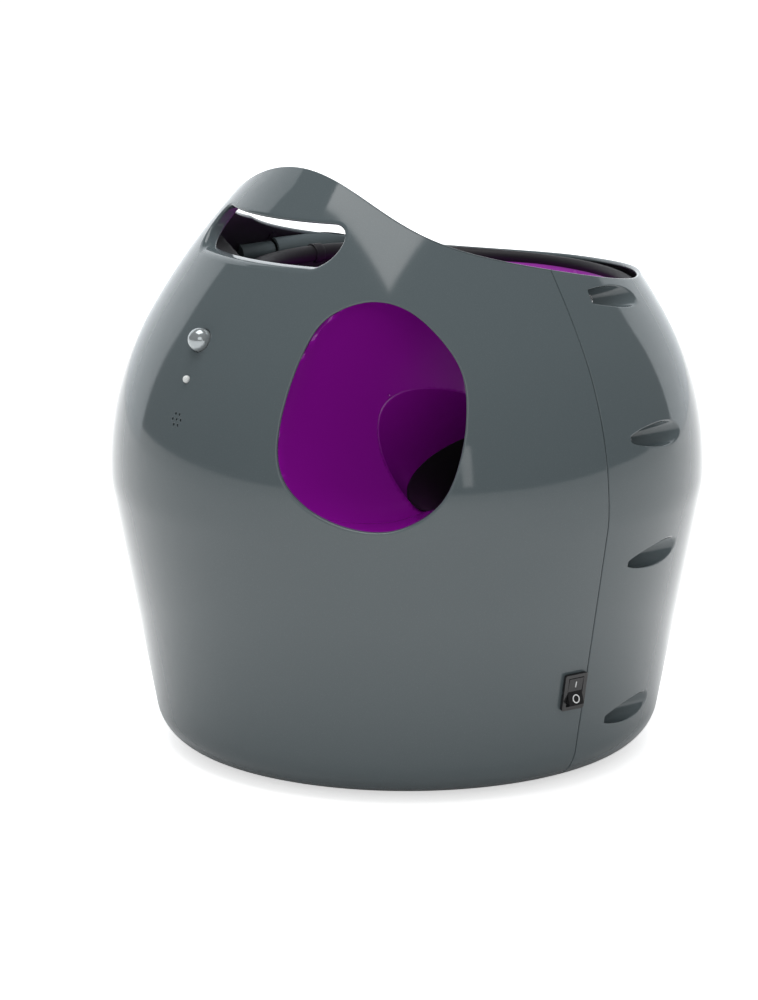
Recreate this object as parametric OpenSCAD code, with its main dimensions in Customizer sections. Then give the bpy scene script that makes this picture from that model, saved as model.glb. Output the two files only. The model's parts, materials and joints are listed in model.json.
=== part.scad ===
// Automatic ball launcher: a two-part dome casing with a hopper on top, an inclined
// spring launcher inside, a launch window at the front right and a hand slot in the hood.
// Millimetres. +Z is up, the front faces -Y, the origin is on the floor under the centre.

/* [Casing] */
// Radius of the casing at its widest line
body_r = 167.5; // [166:0.5:170]
// Height of the widest line above the floor
belly_z = 158; // [156:0.5:160]
// Wall thickness of the casing
wall = 3; // [2.4:0.1:3.4]
// Slope of the lower wall from upright, in degrees
draft = 10.5; // [9.5:0.5:11]
// Radius of the round between the lower wall and the dome
belly_round = 60; // [40:5:80]
// Radius of the dome above the widest line
dome_r = 175; // [172:1:178]
// Slope of the dome where the flatter shoulder starts, in degrees
shoulder_slope = 30; // [28:1:32]
// Radius of the shoulder
shoulder_r = 400; // [360:10:440]
// Radius of the round at the foot of the casing
foot_round = 24; // [20:1:28]
// Gap of the seam between the front and rear shells
seam = 0.4; // [0.2:0.1:0.6]

/* [Rim and hood] */
// Height of the rim line at the middle of the casing
rim_h = 279; // [277:1:282]
// Fall of the rim towards the back, per millimetre
rim_fall = 0.115; // [0.1:0.005:0.125]
// How strongly the rim sweeps up into the hood
hood_pull = 480; // [420:20:540]
// Distance in front of the centre where the hood stands upright
hood_y = 86; // [84:1:88]

/* [Hand slot] */
// Width of the hand slot
slot_w = 110; // [100:2:116]
// Height of the hand slot, along the slope
slot_h = 28; // [24:1:30]
// Height of the slot's centre
slot_z = 297.5; // [296:0.5:299]
// Corner radius of the hand slot
slot_round = 13; // [8:1:14]
// Depth of the lip turned in round the slot
slot_lip = 6; // [4:0.5:6.5]

/* [Launch window] */
// Bearing of the window's centre from the front, in degrees
window_az = 43.5; // [42:0.5:45]
// Height of the window's centre
window_z = 214; // [212:1:216]
// Width of the window
window_w = 98; // [92:1:100]
// Height of the window
window_h = 114.5; // [110:0.5:116]

/* [Window liner] */
// Radius of the liner's dish
dish_r = 109; // [107:0.5:111]
// Centre of the dish, to the right
dish_x = 164; // [162:1:166]
// Centre of the dish, to the front
dish_y = 97; // [95:1:99]
// Centre of the dish, upwards
dish_z = 212; // [210:1:214]
// Wall thickness of the liner, bowl and chute
liner_wall = 2.5; // [2:0.1:2.6]

/* [Launcher] */
// Diameter of the ball that the launcher takes
ball_d = 66.7; // [65:0.1:67]
// Slack between the ball and the launch bore, all round
ball_slack = 2.15; // [2:0.05:2.3]
// Bearing of the launch line from the front, in degrees
aim = 6; // [5:0.5:7]
// Climb of the launch line, in degrees
climb = 38.5; // [38:0.25:39]
// Place of the launch line at the window, to the right
mouth_x = 95; // [94:0.5:96]
// Place of the launch line at the window, to the front
mouth_y = 72; // [71:0.5:73]
// Place of the launch line at the window, upwards
mouth_z = 206.5; // [206:0.25:207]
// Length of the purple guide tube behind the window
guide_len = 50; // [46:1:54]
// Distance from the window to the breech end of the barrel
breech_t = 200; // [198:1:201]
// Wall thickness of the barrel
barrel_wall = 3; // [2.5:0.1:3.2]
// Stroke of the plunger
stroke = 45; // [38:1:45]
// Distance from the window to the plunger's face at rest
face_t = 104; // [103:0.5:105]
// Length of the plunger's skirt
skirt_len = 44; // [42:1:45]
// Running gap between the plunger and the barrel
plunger_gap = 0.3; // [0.2:0.05:0.5]

/* [Launch spring] */
// Wire thickness of the launch spring
spring_wire = 2.6; // [2:0.1:3]
// Radius of the launch spring, to the wire's middle
spring_r = 20; // [16:1:24]
// Turns of the launch spring
spring_turns = 9; // [6:0.5:10]

/* [Gears] */
// Module of the rack and its pinion
rack_module = 2; // [2:1:2]
// Teeth of the rack pinion
rack_pinion_teeth = 12; // [12:1:12]
// Module of the reduction gears
gear_module = 1; // [1:1:1]
// Teeth of the large drive gear
drive_teeth = 48; // [44:1:48]
// Teeth of the idler's large gear
idler_teeth = 36; // [34:1:36]
// Teeth of the idler's small gear and of the motor pinion
pinion_teeth = 12; // [12:1:14]
// Play between the teeth, along the pitch line
backlash = 0.3; // [0.2:0.05:0.5]
// Face width of the reduction gears
gear_w = 4; // [3:0.5:4]
// Radius of the drive shaft
shaft_r = 3; // [2.5:0.25:3.5]
// Running gap of a shaft in its bore
shaft_gap = 0.05; // [0.02:0.01:0.09]
// Thickness of the chassis plates
plate_t = 3; // [2.5:0.25:3.5]

/* [Hopper] */
// Radius of the collar's rolled edge, to its middle
collar_r = 99; // [97:0.5:100]
// Radius of the roll itself
roll_r = 5; // [4:0.25:5.25]
// Height of the roll's middle
roll_z = 262.5; // [261:0.5:263]
// Set of the hopper to the left
hopper_x = 8; // [6:0.5:10]
// Set of the hopper to the back
hopper_y = 20; // [18:0.5:21]
// Height of the flat deck round the hopper
deck_z = 253.5; // [253:0.25:254]
// Turn of the feed chute about the launch line, in degrees
chute_turn = 30; // [26:1:32]
// Bore radius of the feed chute
chute_r = 36.5; // [36:0.25:37]
// Distance from the launch line to the top of the chute
chute_len = 85; // [83:1:87]
// Distance from the window to the chute's middle line
chute_t = 112; // [111:0.5:113]

/* [Base] */
// Height of the casing's lower edge above the floor
base_z = 2; // [1.5:0.25:2.5]
// Radius of the hole in the casing's bottom
base_hole_r = 112; // [110:0.5:113]
// Thickness of the base plate's flange
flange_t = 3; // [2.5:0.25:3]
// Radius of a foot
foot_r = 10; // [8:0.5:11]
// Distance of the feet from the centre
foot_ring = 98; // [94:1:99]

/* [Batteries] */
// Diameter of a cell
cell_d = 33.2; // [32:0.1:33.5]
// Length of a cell
cell_l = 61; // [60:0.5:61.5]
// Rows of cells
cell_rows = 3; // [3:1:3]

/* [Shell screws] */
// Radius of a screw pocket
pocket_r = 6.5; // [5.5:0.25:7]
// Depth of a pocket's middle line under the surface
pocket_inset = 8.1; // [7.5:0.1:8.5]
// Distance of the screw seats behind the seam
seat_y = 20; // [18:0.5:22]

/* [Controls] */
// Bearing of the power switch from the front, in degrees
switch_az = 86.6; // [85.5:0.2:86.8]
// Height of the power switch
switch_z = 58; // [50:1:66]
// Width of the switch bezel
switch_w = 15; // [14:0.5:16]
// Height of the switch bezel
switch_h = 21; // [20:0.5:23]
// Swing of the rocker, in degrees
rocker_swing = 24; // [16:1:24]
// Radius of the distance dial
dial_r = 16; // [13:0.5:16.5]
// Height of the distance dial
dial_z = 222; // [219:1:223]
// Height of the power inlet
inlet_z = 62; // [55:1:75]

/* [Sensors and sound] */
// Radius of a sensor lens
lens_r = 6.5; // [5.5:0.25:7]
// Height of the sensor lenses
lens_z = 245; // [243:0.5:245]
// Radius of the status light
led_r = 2.1; // [1.5:0.1:2.5]
// Height of the status light
led_z = 225; // [222:1:226]
// Height of the sounder's holes
sounder_z = 204; // [202:1:205]
// Radius of the sounder
sounder_r = 13; // [11:0.5:14]

/* [Hidden] */

fine = 96;
small = 32;
eps = 0.01;
fit = 0.3;
bore_r = ball_d / 2 + ball_slack;
barrel_r = bore_r + barrel_wall;
shell_gap = 0.3;

// ---- casing profile ----
top_slope = 50;
break_r = body_r - dome_r * (1 - cos(shoulder_slope));
break_z = belly_z + dome_r * sin(shoulder_slope);
shoulder_cr = break_r - shoulder_r * cos(shoulder_slope);
shoulder_cz = break_z - shoulder_r * sin(shoulder_slope);
belly_cr = body_r - belly_round;
belly_foot = [belly_cr + belly_round * cos(draft), belly_z - belly_round * sin(draft)];
foot_cz = base_z + foot_round;
foot_start_z = foot_cz - foot_round * sin(draft);
foot_cr = belly_foot[0] - (belly_foot[1] - foot_start_z) * tan(draft)
    - foot_round * cos(draft);

function arc(c, r, a0, a1, n) = [for (i = [0:n])
    let (a = a0 + (a1 - a0) * i / n) [c[0] + r * cos(a), c[1] + r * sin(a)]];

// Half section of the casing, moved inwards by off
function section(off) = concat(
    [[0, shoulder_cz + (shoulder_r - off) * sin(top_slope)]],
    arc([shoulder_cr, shoulder_cz], shoulder_r - off, top_slope, shoulder_slope, 6),
    arc([body_r - dome_r, belly_z], dome_r - off, shoulder_slope, 0, 7),
    arc([belly_cr, belly_z], belly_round - off, -draft / 2, -draft, 1),
    arc([foot_cr, foot_cz], foot_round - off, -draft, -90, 6),
    [[0, base_z + off]]);

// Outer radius of the casing at height z, moved inwards by off
function shell_r(z, off = 0) =
    z > belly_z + (dome_r - off) * sin(shoulder_slope)
        ? shoulder_cr + sqrt(pow(shoulder_r - off, 2) - pow(z - shoulder_cz, 2))
    : z > belly_z
        ? body_r - dome_r + sqrt(pow(dome_r - off, 2) - pow(z - belly_z, 2))
    : belly_foot[0] - (belly_foot[1] - z) * tan(draft) - off / cos(draft);
function dome_slope(z) = asin((z - belly_z) / dome_r);

module envelope(off = 0) {
    rotate_extrude($fn = fine) polygon(section(off));
}

// Everything above the rim line
rim_reach = 260;
rim_start = 5.5;
rim_steps = 26;
function rim_z(y) = rim_h - rim_fall * y + hood_pull / (y + hood_y);
module above_rim() {
    line = [for (i = [0:rim_steps])
        let (y = rim_start * pow(rim_reach / rim_start, i / rim_steps) - hood_y) [y, rim_z(y)]];
    rotate([90, 0, 90])
        linear_extrude(2 * rim_reach, center = true)
            polygon(concat(line, [[rim_reach - hood_y, rim_reach * 2], [rim_start - hood_y, rim_reach * 2]]));
}

module half(front) {
    size = 2 * rim_reach;
    translate([-size / 2, front ? -size - seam / 2 : seam / 2, -10]) cube([size, size, size]);
}

// Frame on the casing's surface: +Z points out, +Y up along the wall
module on_wall(az, r, z, slope) {
    rotate([0, 0, az]) translate([0, -r, z]) rotate([90 - slope, 0, 0]) children();
}

module round_rect(w, h, r) {
    square([w - 2 * r, h], center = true);
    square([w, h - 2 * r], center = true);
    for (x = [-1, 1], y = [-1, 1])
        translate([x * (w / 2 - r), y * (h / 2 - r)]) circle(r, $fn = small);
}

// ---- hand slot ----
slot_slope = acos((shell_r(slot_z) - shoulder_cr) / shoulder_r);
module slot_prism(grow, inwards, outwards) {
    on_wall(0, shell_r(slot_z), slot_z, slot_slope)
        translate([0, 0, -inwards])
            linear_extrude(inwards + outwards)
                round_rect(slot_w + 2 * grow, slot_h + 2 * grow, slot_round + grow);
}

// ---- launch window ----
// Outline as shares of the half width and half height, joined by a smooth closed curve
window_shape = [
    [-0.08, 1.0], [-0.57, 0.84], [-0.84, 0.46], [-1.02, -0.1], [-1.0, -0.51],
    [-0.74, -0.79], [-0.29, -0.97], [0.2, -1.0], [0.63, -0.83], [0.87, -0.53],
    [0.98, -0.02], [0.88, 0.46], [0.41, 0.88]
];
window_steps = 4;
function spline(a, b, c, d, t) = 0.5 * (2 * b + (c - a) * t
    + (2 * a - 5 * b + 4 * c - d) * t * t + (3 * b - a - 3 * c + d) * t * t * t);
function closed(p, n) = [for (i = [0:len(p) - 1], j = [0:n - 1])
    spline(p[(i + len(p) - 1) % len(p)], p[i], p[(i + 1) % len(p)], p[(i + 2) % len(p)], j / n)];
function window_line(grow) = [for (p = closed(window_shape, window_steps))
    [p[0] * (window_w / 2 + grow), p[1] * (window_h / 2 + grow)]];

module window_prism(grow, from, to) {
    rotate([0, 0, window_az]) translate([0, -from, window_z])
        rotate([90, 0, 0]) linear_extrude(to - from) polygon(window_line(grow));
}

// ---- launcher frame: +Z along the launch line, +X level to the right ----
module launcher() {
    translate([mouth_x, -mouth_y, mouth_z]) rotate([90 - climb, 0, aim]) children();
}
// Upright frame in the launcher's plane: x runs back and level, y up, and z to the right
module side_view() {
    translate([mouth_x, -mouth_y, 0]) rotate([0, 0, aim]) rotate([90, 0, 90]) children();
}
// Launcher coordinates (t along the line, n across it, upwards) to the upright frame
function to_side(t, n) = [-t * cos(climb) + n * sin(climb), mouth_z + t * sin(climb) + n * cos(climb)];

// ---- hopper and deck ----
deck_t = liner_wall;
cone_r = 84;
cone_z = 256;
cone_rise = 0.662;
front_y = 45;
collar_out = collar_r + roll_r;
skirt_t = 4;
bowl_r = collar_r - roll_r - 0.5;
bowl_top = 257;
function cone_h(r) = cone_z + (r - cone_r) * cone_rise;

// Space under the sloping part of the deck, less a gap
module under_deck(gap) {
    rotate_extrude($fn = fine)
        polygon([[0, -1], [200, -1], [200, cone_h(200) - gap], [cone_r, cone_z - gap], [0, cone_z - gap]]);
}

// ---- liner ----
well_margin = 5;
guide_out = bore_r + barrel_wall;
module liner_room(off) {
    intersection() {
        window_prism(well_margin + off, 10, 180);
        translate([dish_x, -dish_y, dish_z]) sphere(dish_r + off, $fn = fine);
        under_deck(shell_gap + liner_wall - off);
    }
}
module launch_bore(extra, from, to) {
    launcher() translate([0, 0, from]) cylinder(r = bore_r + extra, h = to - from, $fn = fine);
}

// ---- screw places: height of each pair ----
screw_heights = [36, 127, 193, 264.5];
pilot_r = 1.5;
boss_r = 5.5;
function screw_x(z) = shell_r(z) - pocket_inset;
module along_y(x, z, from, to, r) {
    translate([x, from, z]) rotate([-90, 0, 0]) cylinder(r = r, h = to - from, $fn = small);
}
module each_screw() {
    for (side = [-1, 1], z = screw_heights) along_side(side * screw_x(z), z) children();
}
module along_side(x, z) {
    translate([x, 0, z]) rotate([-90, 0, 0]) rotate([0, 0, 135]) children();
}

// ---- ledge that carries the deck ----
ledge_t = 2.4;
ledge_w = 12;
module deck_ledge() {
    top = deck_z - 0.2;
    difference() {
        intersection() {
            envelope(wall / 2);
            translate([0, 0, top - ledge_t]) cylinder(r = body_r, h = ledge_t, $fn = fine);
        }
        translate([0, 0, top - ledge_t - 1])
            cylinder(r = shell_r(top, wall) - ledge_w, h = ledge_t + 2, $fn = fine);
        translate([-body_r, -2 * body_r - front_y + 5, 0]) cube([2 * body_r, 2 * body_r, 2 * body_r]);
    }
}

module casing() {
    difference() {
        envelope();
        envelope(wall);
        above_rim();
        translate([0, 0, -1]) cylinder(r = base_hole_r, h = base_z + wall + 2, $fn = fine);
    }
}

// ---- controls on the wall ----
switch_r = shell_r(switch_z);
hole_w = switch_w - 2;
hole_h = switch_h - 2;
lens_slope = dome_slope(lens_z);
led_slope = dome_slope(led_z);
sounder_slope = dome_slope(sounder_z);
dial_slope = dome_slope(dial_z);
sounder_hole_r = 0.8;
sounder_pitch = 3.4;
dial_shaft_r = 3;
inlet_r = 5.5;

module front_shell() {
    color([0.40, 0.43, 0.45]) difference() {
        union() {
            intersection() {
                casing();
                half(true);
            }
            intersection() {
                deck_ledge();
                half(true);
            }
            // lip turned in round the hand slot
            difference() {
                intersection() {
                    slot_prism(wall, slot_lip, 10);
                    envelope(wall / 2);
                }
                envelope(slot_lip);
            }
            intersection() {
                union() {
                    each_screw() translate([0, 0, -24]) cylinder(r = boss_r, h = 24 - seam / 2, $fn = small);
                }
                envelope(wall / 2);
            }
            // ring that holds the sounder
            on_wall(0, shell_r(sounder_z), sounder_z, sounder_slope)
                translate([0, 0, -wall - 4]) difference() {
                    cylinder(r = sounder_r + 2.5, h = 5.5, $fn = small);
                    translate([0, 0, -1]) cylinder(r = sounder_r + fit, h = 8, $fn = small);
                }
        }
        slot_prism(0, 30, 30);
        window_prism(0, 40, 200);
        each_screw() translate([0, 0, -20]) cylinder(r = pilot_r, h = 22, $fn = small);
        on_wall(0, shell_r(lens_z), lens_z, lens_slope)
            translate([0, 0, -10]) cylinder(r = lens_r + 0.2, h = 20, $fn = small);
        on_wall(0, shell_r(led_z), led_z, led_slope)
            translate([0, 0, -10]) cylinder(r = led_r + 0.1, h = 20, $fn = small);
        on_wall(0, shell_r(sounder_z), sounder_z, sounder_slope) translate([0, 0, -10]) {
            cylinder(r = sounder_hole_r, h = 20, $fn = small);
            for (a = [0:60:300]) rotate([0, 0, a]) translate([sounder_pitch, 0, 0])
                cylinder(r = sounder_hole_r, h = 20, $fn = small);
        }
        on_wall(switch_az, switch_r, switch_z, -draft)
            translate([0, 0, -15]) linear_extrude(30) square([hole_w + 0.2, hole_h + 0.2], center = true);
    }
}

module rear_shell() {
    color([0.40, 0.43, 0.45]) difference() {
        union() {
            intersection() {
                casing();
                half(false);
            }
            intersection() {
                deck_ledge();
                half(false);
            }
            // walls of the screw pockets
            intersection() {
                union() {
                    each_screw() translate([0, 0, seam / 2])
                        cylinder(r = pocket_r + 1.5, h = 75, $fn = small);
                }
                envelope(wall / 2);
            }
        }
        each_screw() {
            cylinder(r = pilot_r + 0.6, h = seat_y + 1, $fn = small);
            translate([0, 0, seat_y]) cylinder(r = pocket_r, h = 120, $fn = small);
        }
        on_wall(180, shell_r(lens_z), lens_z, lens_slope)
            translate([0, 0, -10]) cylinder(r = lens_r + 0.2, h = 20, $fn = small);
        on_wall(180, shell_r(dial_z), dial_z, dial_slope)
            translate([0, 0, -20]) cylinder(r = dial_shaft_r + 0.3, h = 40, $fn = small);
        on_wall(180, shell_r(inlet_z), inlet_z, -draft)
            translate([0, 0, -20]) cylinder(r = inlet_r + 0.2, h = 40, $fn = small);
    }
}

module shell_screws() {
    color("silver") each_screw() {
        translate([0, 0, -18]) cylinder(r = pilot_r - 0.05, h = 18 + seat_y + 1, $fn = small);
        translate([0, 0, seat_y + 0.1]) difference() {
            cylinder(r = 4, h = 2.6, $fn = small);
            for (a = [0, 90]) rotate([0, 0, a]) translate([0, 0, 3]) cube([4.6, 0.9, 3], center = true);
        }
    }
}

// ---- base ----
flange_z = base_z + wall + 0.2;
flange_r = foot_cr + 0.5;
tray_wall = 2.5;
tray_gap = 0.5;
contact_t = 0.6;
tray_in_l = 2 * cell_l + 2 * contact_t + 2 * tray_gap;
row_pitch = cell_d + 1;
tray_in_w = cell_rows * row_pitch + 0.4;
tray_x = -31;
cell_z = flange_z + flange_t + cell_d / 2 + 0.4;
tray_top = cell_z + cell_d / 2 + 0.9;
floor_top = flange_z + flange_t;
door_lip = 3;
chassis_out = [-36, 12];
foot_w = 10;
foot_end = 112;
left_foot = 8;
right_foot = 54;
chassis_feet = [[chassis_out[0] - foot_w / 2, left_foot + 12], [chassis_out[0] - foot_w / 2, foot_end - 12],
    [chassis_out[1] + foot_w / 2, right_foot + 12], [chassis_out[1] + foot_w / 2, foot_end - 12]];

module tray_hole(grow, z0, z1) {
    translate([tray_x, 0, z0]) linear_extrude(z1 - z0)
        square([tray_in_l + 2 * grow, tray_in_w + 2 * grow], center = true);
}
module chassis_hole(r, z0, z1) {
    for (p = chassis_feet)
        translate([mouth_x, -mouth_y, 0]) rotate([0, 0, aim]) translate([p[0], p[1], z0])
            cylinder(r = r, h = z1 - z0, $fn = small);
}

module base_plate() {
    color([0.16, 0.16, 0.17]) difference() {
        union() {
            translate([0, 0, base_z]) cylinder(r = base_hole_r - fit, h = wall + 0.5, $fn = fine);
            translate([0, 0, flange_z]) cylinder(r = flange_r, h = flange_t, $fn = fine);
        }
        tray_hole(0, 0, 40);
        tray_hole(door_lip, 0, base_z + wall);
        for (a = [45:90:315]) rotate([0, 0, a]) translate([foot_ring, 0, 0])
            cylinder(r = foot_r + 0.2, h = base_z + 2, $fn = small);
        chassis_hole(pilot_r + 0.5, 0, 40);
        chassis_hole(3.6, 0, base_z + 3);
        // vent slots
        for (i = [-3:3]) translate([83, i * 9, 0])
            linear_extrude(40) round_rect(22, 3, 1.4);
    }
}

module rubber_feet() {
    color([0.08, 0.08, 0.08])
        for (a = [45:90:315]) rotate([0, 0, a]) translate([foot_ring, 0, 0])
            rotate_extrude($fn = small) polygon([
                [0, 0.6], [foot_r - 4, 0.6], [foot_r - 4, 0], [foot_r - 1, 0], [foot_r, 1],
                [foot_r, base_z + 2], [0, base_z + 2]]);
}

module battery_door() {
    color([0.16, 0.16, 0.17]) difference() {
        translate([tray_x, 0, base_z]) linear_extrude(wall - 0.2)
            square([tray_in_l + 2 * door_lip - 2 * fit, tray_in_w + 2 * door_lip - 2 * fit], center = true);
        translate([tray_x + tray_in_l / 2 - 8, 0, 0]) {
            cylinder(r = pilot_r + 0.4, h = 10, $fn = small);
            cylinder(r = 3.2, h = base_z + 1.4, $fn = small);
        }
        // finger grooves
        for (i = [-2:2]) translate([tray_x - tray_in_l / 2 + 14 + i * 4, 0, base_z])
            cube([1.6, 40, 1.2], center = true);
    }
}

module door_screw() {
    color("silver") translate([tray_x + tray_in_l / 2 - 8, 0, base_z]) {
        difference() {
            cylinder(r = 2.8, h = 1.3, $fn = small);
            for (a = [0, 90]) rotate([0, 0, a]) cube([3.6, 0.7, 1.2], center = true);
        }
        cylinder(r = pilot_r - 0.05, h = 6, $fn = small);
    }
}

module battery_tray() {
    color([0.12, 0.12, 0.13]) difference() {
        translate([tray_x, 0, floor_top]) linear_extrude(tray_top + tray_wall - floor_top)
            square([tray_in_l + 2 * tray_wall, tray_in_w + 2 * tray_wall], center = true);
        tray_hole(0, floor_top - 1, tray_top);
        // wire openings in the end walls
        for (s = [-1, 1]) translate([tray_x + s * tray_in_l / 2, 40, tray_top - 6]) cube([12, 8, 6], center = true);
    }
}

module battery_cells() {
    color([0.75, 0.62, 0.2])
        for (row = [0:cell_rows - 1], s = [-1, 1])
            translate([tray_x + s * (cell_l / 2 + 0.15), (row - (cell_rows - 1) / 2) * row_pitch, cell_z])
                rotate([0, (row % 2 == 0) ? 90 : -90, 0]) translate([0, 0, -cell_l / 2]) {
                    cylinder(r = cell_d / 2, h = cell_l - 1.6, $fn = fine);
                    cylinder(r = 4.7, h = cell_l, $fn = small);
                }
}

module battery_contacts() {
    color("silver")
        for (row = [0:cell_rows - 1], s = [-1, 1])
            translate([tray_x + s * (tray_in_l - contact_t) / 2, (row - (cell_rows - 1) / 2) * row_pitch, cell_z])
                cube([contact_t, 20, 18], center = true);
}

// ---- hopper ----
module ring_at(r, z, w, h) {
    translate([-hopper_x, hopper_y, z]) difference() {
        cylinder(r = r, h = h, $fn = fine);
        translate([0, 0, -1]) cylinder(r = r - w, h = h + 2, $fn = fine);
    }
}

module hopper_collar() {
    skirt_in = bowl_r + liner_wall + fit;
    color([0.11, 0.1, 0.13]) difference() {
        union() {
            // flat deck between the roll and the casing
            intersection() {
                translate([0, 0, deck_z]) cylinder(r = body_r, h = deck_t, $fn = fine);
                envelope(wall + shell_gap);
            }
            // sloping deck under the hood
            intersection() {
                difference() {
                    under_deck(-deck_t - eps);
                    under_deck(0);
                    cylinder(r = cone_r, h = 2 * body_r, $fn = fine);
                }
                envelope(wall + shell_gap);
                translate([-body_r, -2 * body_r - front_y, 0]) cube([2 * body_r, 2 * body_r, 2 * body_r]);
            }
            translate([-hopper_x, hopper_y, roll_z])
                rotate_extrude($fn = fine) translate([collar_r, 0]) circle(roll_r, $fn = small);
            ring_at(skirt_in + skirt_t, deck_z, skirt_t, roll_z - deck_z);
        }
        translate([-hopper_x, hopper_y, 0]) cylinder(r = skirt_in, h = 2 * body_r, $fn = fine);
        // the flat deck stops where the sloping one starts
        intersection() {
            translate([-body_r, -2 * body_r - front_y - 2, deck_z - 1]) cube([2 * body_r, 2 * body_r, deck_t + 2]);
            difference() {
                translate([0, 0, deck_z - 1]) cylinder(r = body_r, h = deck_t + 2, $fn = fine);
                translate([0, 0, deck_z - 2]) cylinder(r = cone_r + 4, h = deck_t + 4, $fn = fine);
            }
        }
        liner_clearance();
    }
}

// Room that the collar leaves for the liner
module liner_clearance() {
    intersection() {
        window_prism(well_margin + liner_wall + 0.5, 10, 180);
        translate([dish_x, -dish_y, dish_z]) sphere(dish_r + liner_wall + 0.5, $fn = fine);
        translate([0, 0, 100]) cylinder(r = body_r, h = cone_z + 1 - 100, $fn = fine);
    }
}

sleeve_half = 2;
module collar_sleeves() {
    color([0.09, 0.09, 0.1])
        for (s = [0, 180]) translate([-hopper_x, hopper_y, roll_z])
            rotate([0, 0, s]) rotate([0, 0, -sleeve_half])
                rotate_extrude(angle = 2 * sleeve_half, $fn = fine)
                    translate([collar_r, 0]) difference() {
                        circle(roll_r + 0.9, $fn = small);
                        circle(roll_r + 0.05, $fn = small);
                        translate([-10, -10]) square([20, 9]);
                    }
}

chute_dir = [-sin(chute_turn), cos(chute_turn)];
// World direction of the chute and of two axes across it
right_axis = [cos(aim), sin(aim), 0];
line_axis = [sin(aim) * cos(climb), -cos(aim) * cos(climb), sin(climb)];
up_axis = [-sin(aim) * sin(climb), cos(aim) * sin(climb), cos(climb)];
chute_axis = chute_dir[0] * right_axis + chute_dir[1] * up_axis;
chute_top = [mouth_x, -mouth_y, mouth_z] - chute_t * line_axis + (chute_len + 0.4) * chute_axis;
flat_x = [1, 0, 0] - chute_axis[0] * chute_axis;
ring_x = flat_x / norm(flat_x);
ring_y = cross(chute_axis, ring_x);
bowl_steps = 8;
bowl_sides = 48;
function bowl_drop(s) = 1 - (1 - s) * (1 - s);
function mix(a, b, s) = a + (b - a) * s;
// Ring i of the bowl: from the round rim to the tilted ring at the chute
function bowl_ring(s, out) = let (
    c = [mix(-hopper_x, chute_top[0], s), mix(hopper_y, chute_top[1], s), mix(bowl_top - 3, chute_top[2], bowl_drop(s))],
    r = mix(bowl_r, chute_r, s) + out,
    ex = mix([1, 0, 0], ring_x, s), ey = mix([0, 1, 0], ring_y, s),
    low = out > 0 ? -out * 0.6 * sin(180 * s) : 0)
    [for (k = [0:bowl_sides - 1]) let (a = 360 * k / bowl_sides)
        c + r * (cos(a) * ex / norm(ex) + sin(a) * ey / norm(ey)) + [0, 0, low]];

module hopper_bowl() {
    n = bowl_sides;
    inner = [for (i = [0:bowl_steps]) bowl_ring(i / bowl_steps, 0)];
    outer = [for (i = [0:bowl_steps]) bowl_ring(i / bowl_steps, liner_wall)];
    all = concat(inner, [for (i = [bowl_steps:-1:0]) outer[i]]);
    rows = len(all);
    color([0.45, 0.05, 0.48]) {
        polyhedron(
            points = [for (ring = all) each ring],
            faces = [for (i = [0:rows - 1], k = [0:n - 1], h = [0, 1])
                let (j = (i + 1) % rows, m = (k + 1) % n)
                h == 0 ? [i * n + k, i * n + m, j * n + k] : [j * n + k, i * n + m, j * n + m]]);
    }
}

module feed_chute() {
    color([0.42, 0.05, 0.45]) difference() {
        launcher() translate([0, 0, -chute_t]) rotate([0, 0, chute_turn]) rotate([-90, 0, 0])
            difference() {
                union() {
                    cylinder(r = chute_r + liner_wall, h = chute_len, $fn = fine);
                    translate([0, 0, bore_r]) cylinder(r = chute_r + liner_wall + 2, h = 8, $fn = fine);
                }
                translate([0, 0, -1]) cylinder(r = chute_r, h = chute_len + 2, $fn = fine);
            }
        launcher() translate([0, 0, -breech_t - 60])
            cylinder(r = barrel_r + 0.2, h = breech_t + 100, $fn = fine);
        translate([0, 0, -2]) mirror([0, 0, 1]) cube(1);
        // only the upper side of the barrel carries the chute
        launcher() translate([-100, -200, -300]) cube([200, 200, 600]);
    }
}

module window_liner() {
    color([0.42, 0.03, 0.45]) intersection() {
        difference() {
            union() {
                liner_room(liner_wall);
                launch_bore(barrel_wall, -guide_len, 2);
                launch_bore(barrel_wall + 3.2, -guide_len - 12, -guide_len + 12);
                // flange that lies against the casing round the window
                intersection() {
                    window_prism(16, 40, 200);
                    envelope(wall + shell_gap);
                    under_deck(shell_gap);
                }
            }
            difference() {
                union() {
                    envelope(wall + shell_gap + liner_wall);
                }
                liner_room(liner_wall);
                launch_bore(barrel_wall, -guide_len, 2);
                launch_bore(barrel_wall + 3.2, -guide_len - 12, -guide_len + 12);
            }
            liner_room(0);
            launch_bore(0, -guide_len - 20, 2);
            launch_bore(barrel_wall + 0.2, -guide_len - 20, -guide_len);
        }
        envelope(wall + shell_gap);
    }
}

// ---- launcher ----
port_r = bore_r;
rack_y = bore_r + barrel_wall + 2.3;
rack_pitch_y = rack_y + 6.8;
rack_w = 9;
rack_len = 54;
web_w = 6;
pinion_r = rack_module * rack_pinion_teeth / 2;
drive_t = face_t + skirt_len - 2;
drive_n = -(rack_pitch_y + pinion_r);
drive_at = to_side(-drive_t, drive_n);
drive_r = gear_module * drive_teeth / 2;
small_r = gear_module * pinion_teeth / 2;
idler_r = gear_module * idler_teeth / 2;
idler_at = drive_at + (drive_r + small_r) * [-1, 0.033];
motor_at = idler_at + (idler_r + small_r) * [-1, 0.025];

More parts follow.
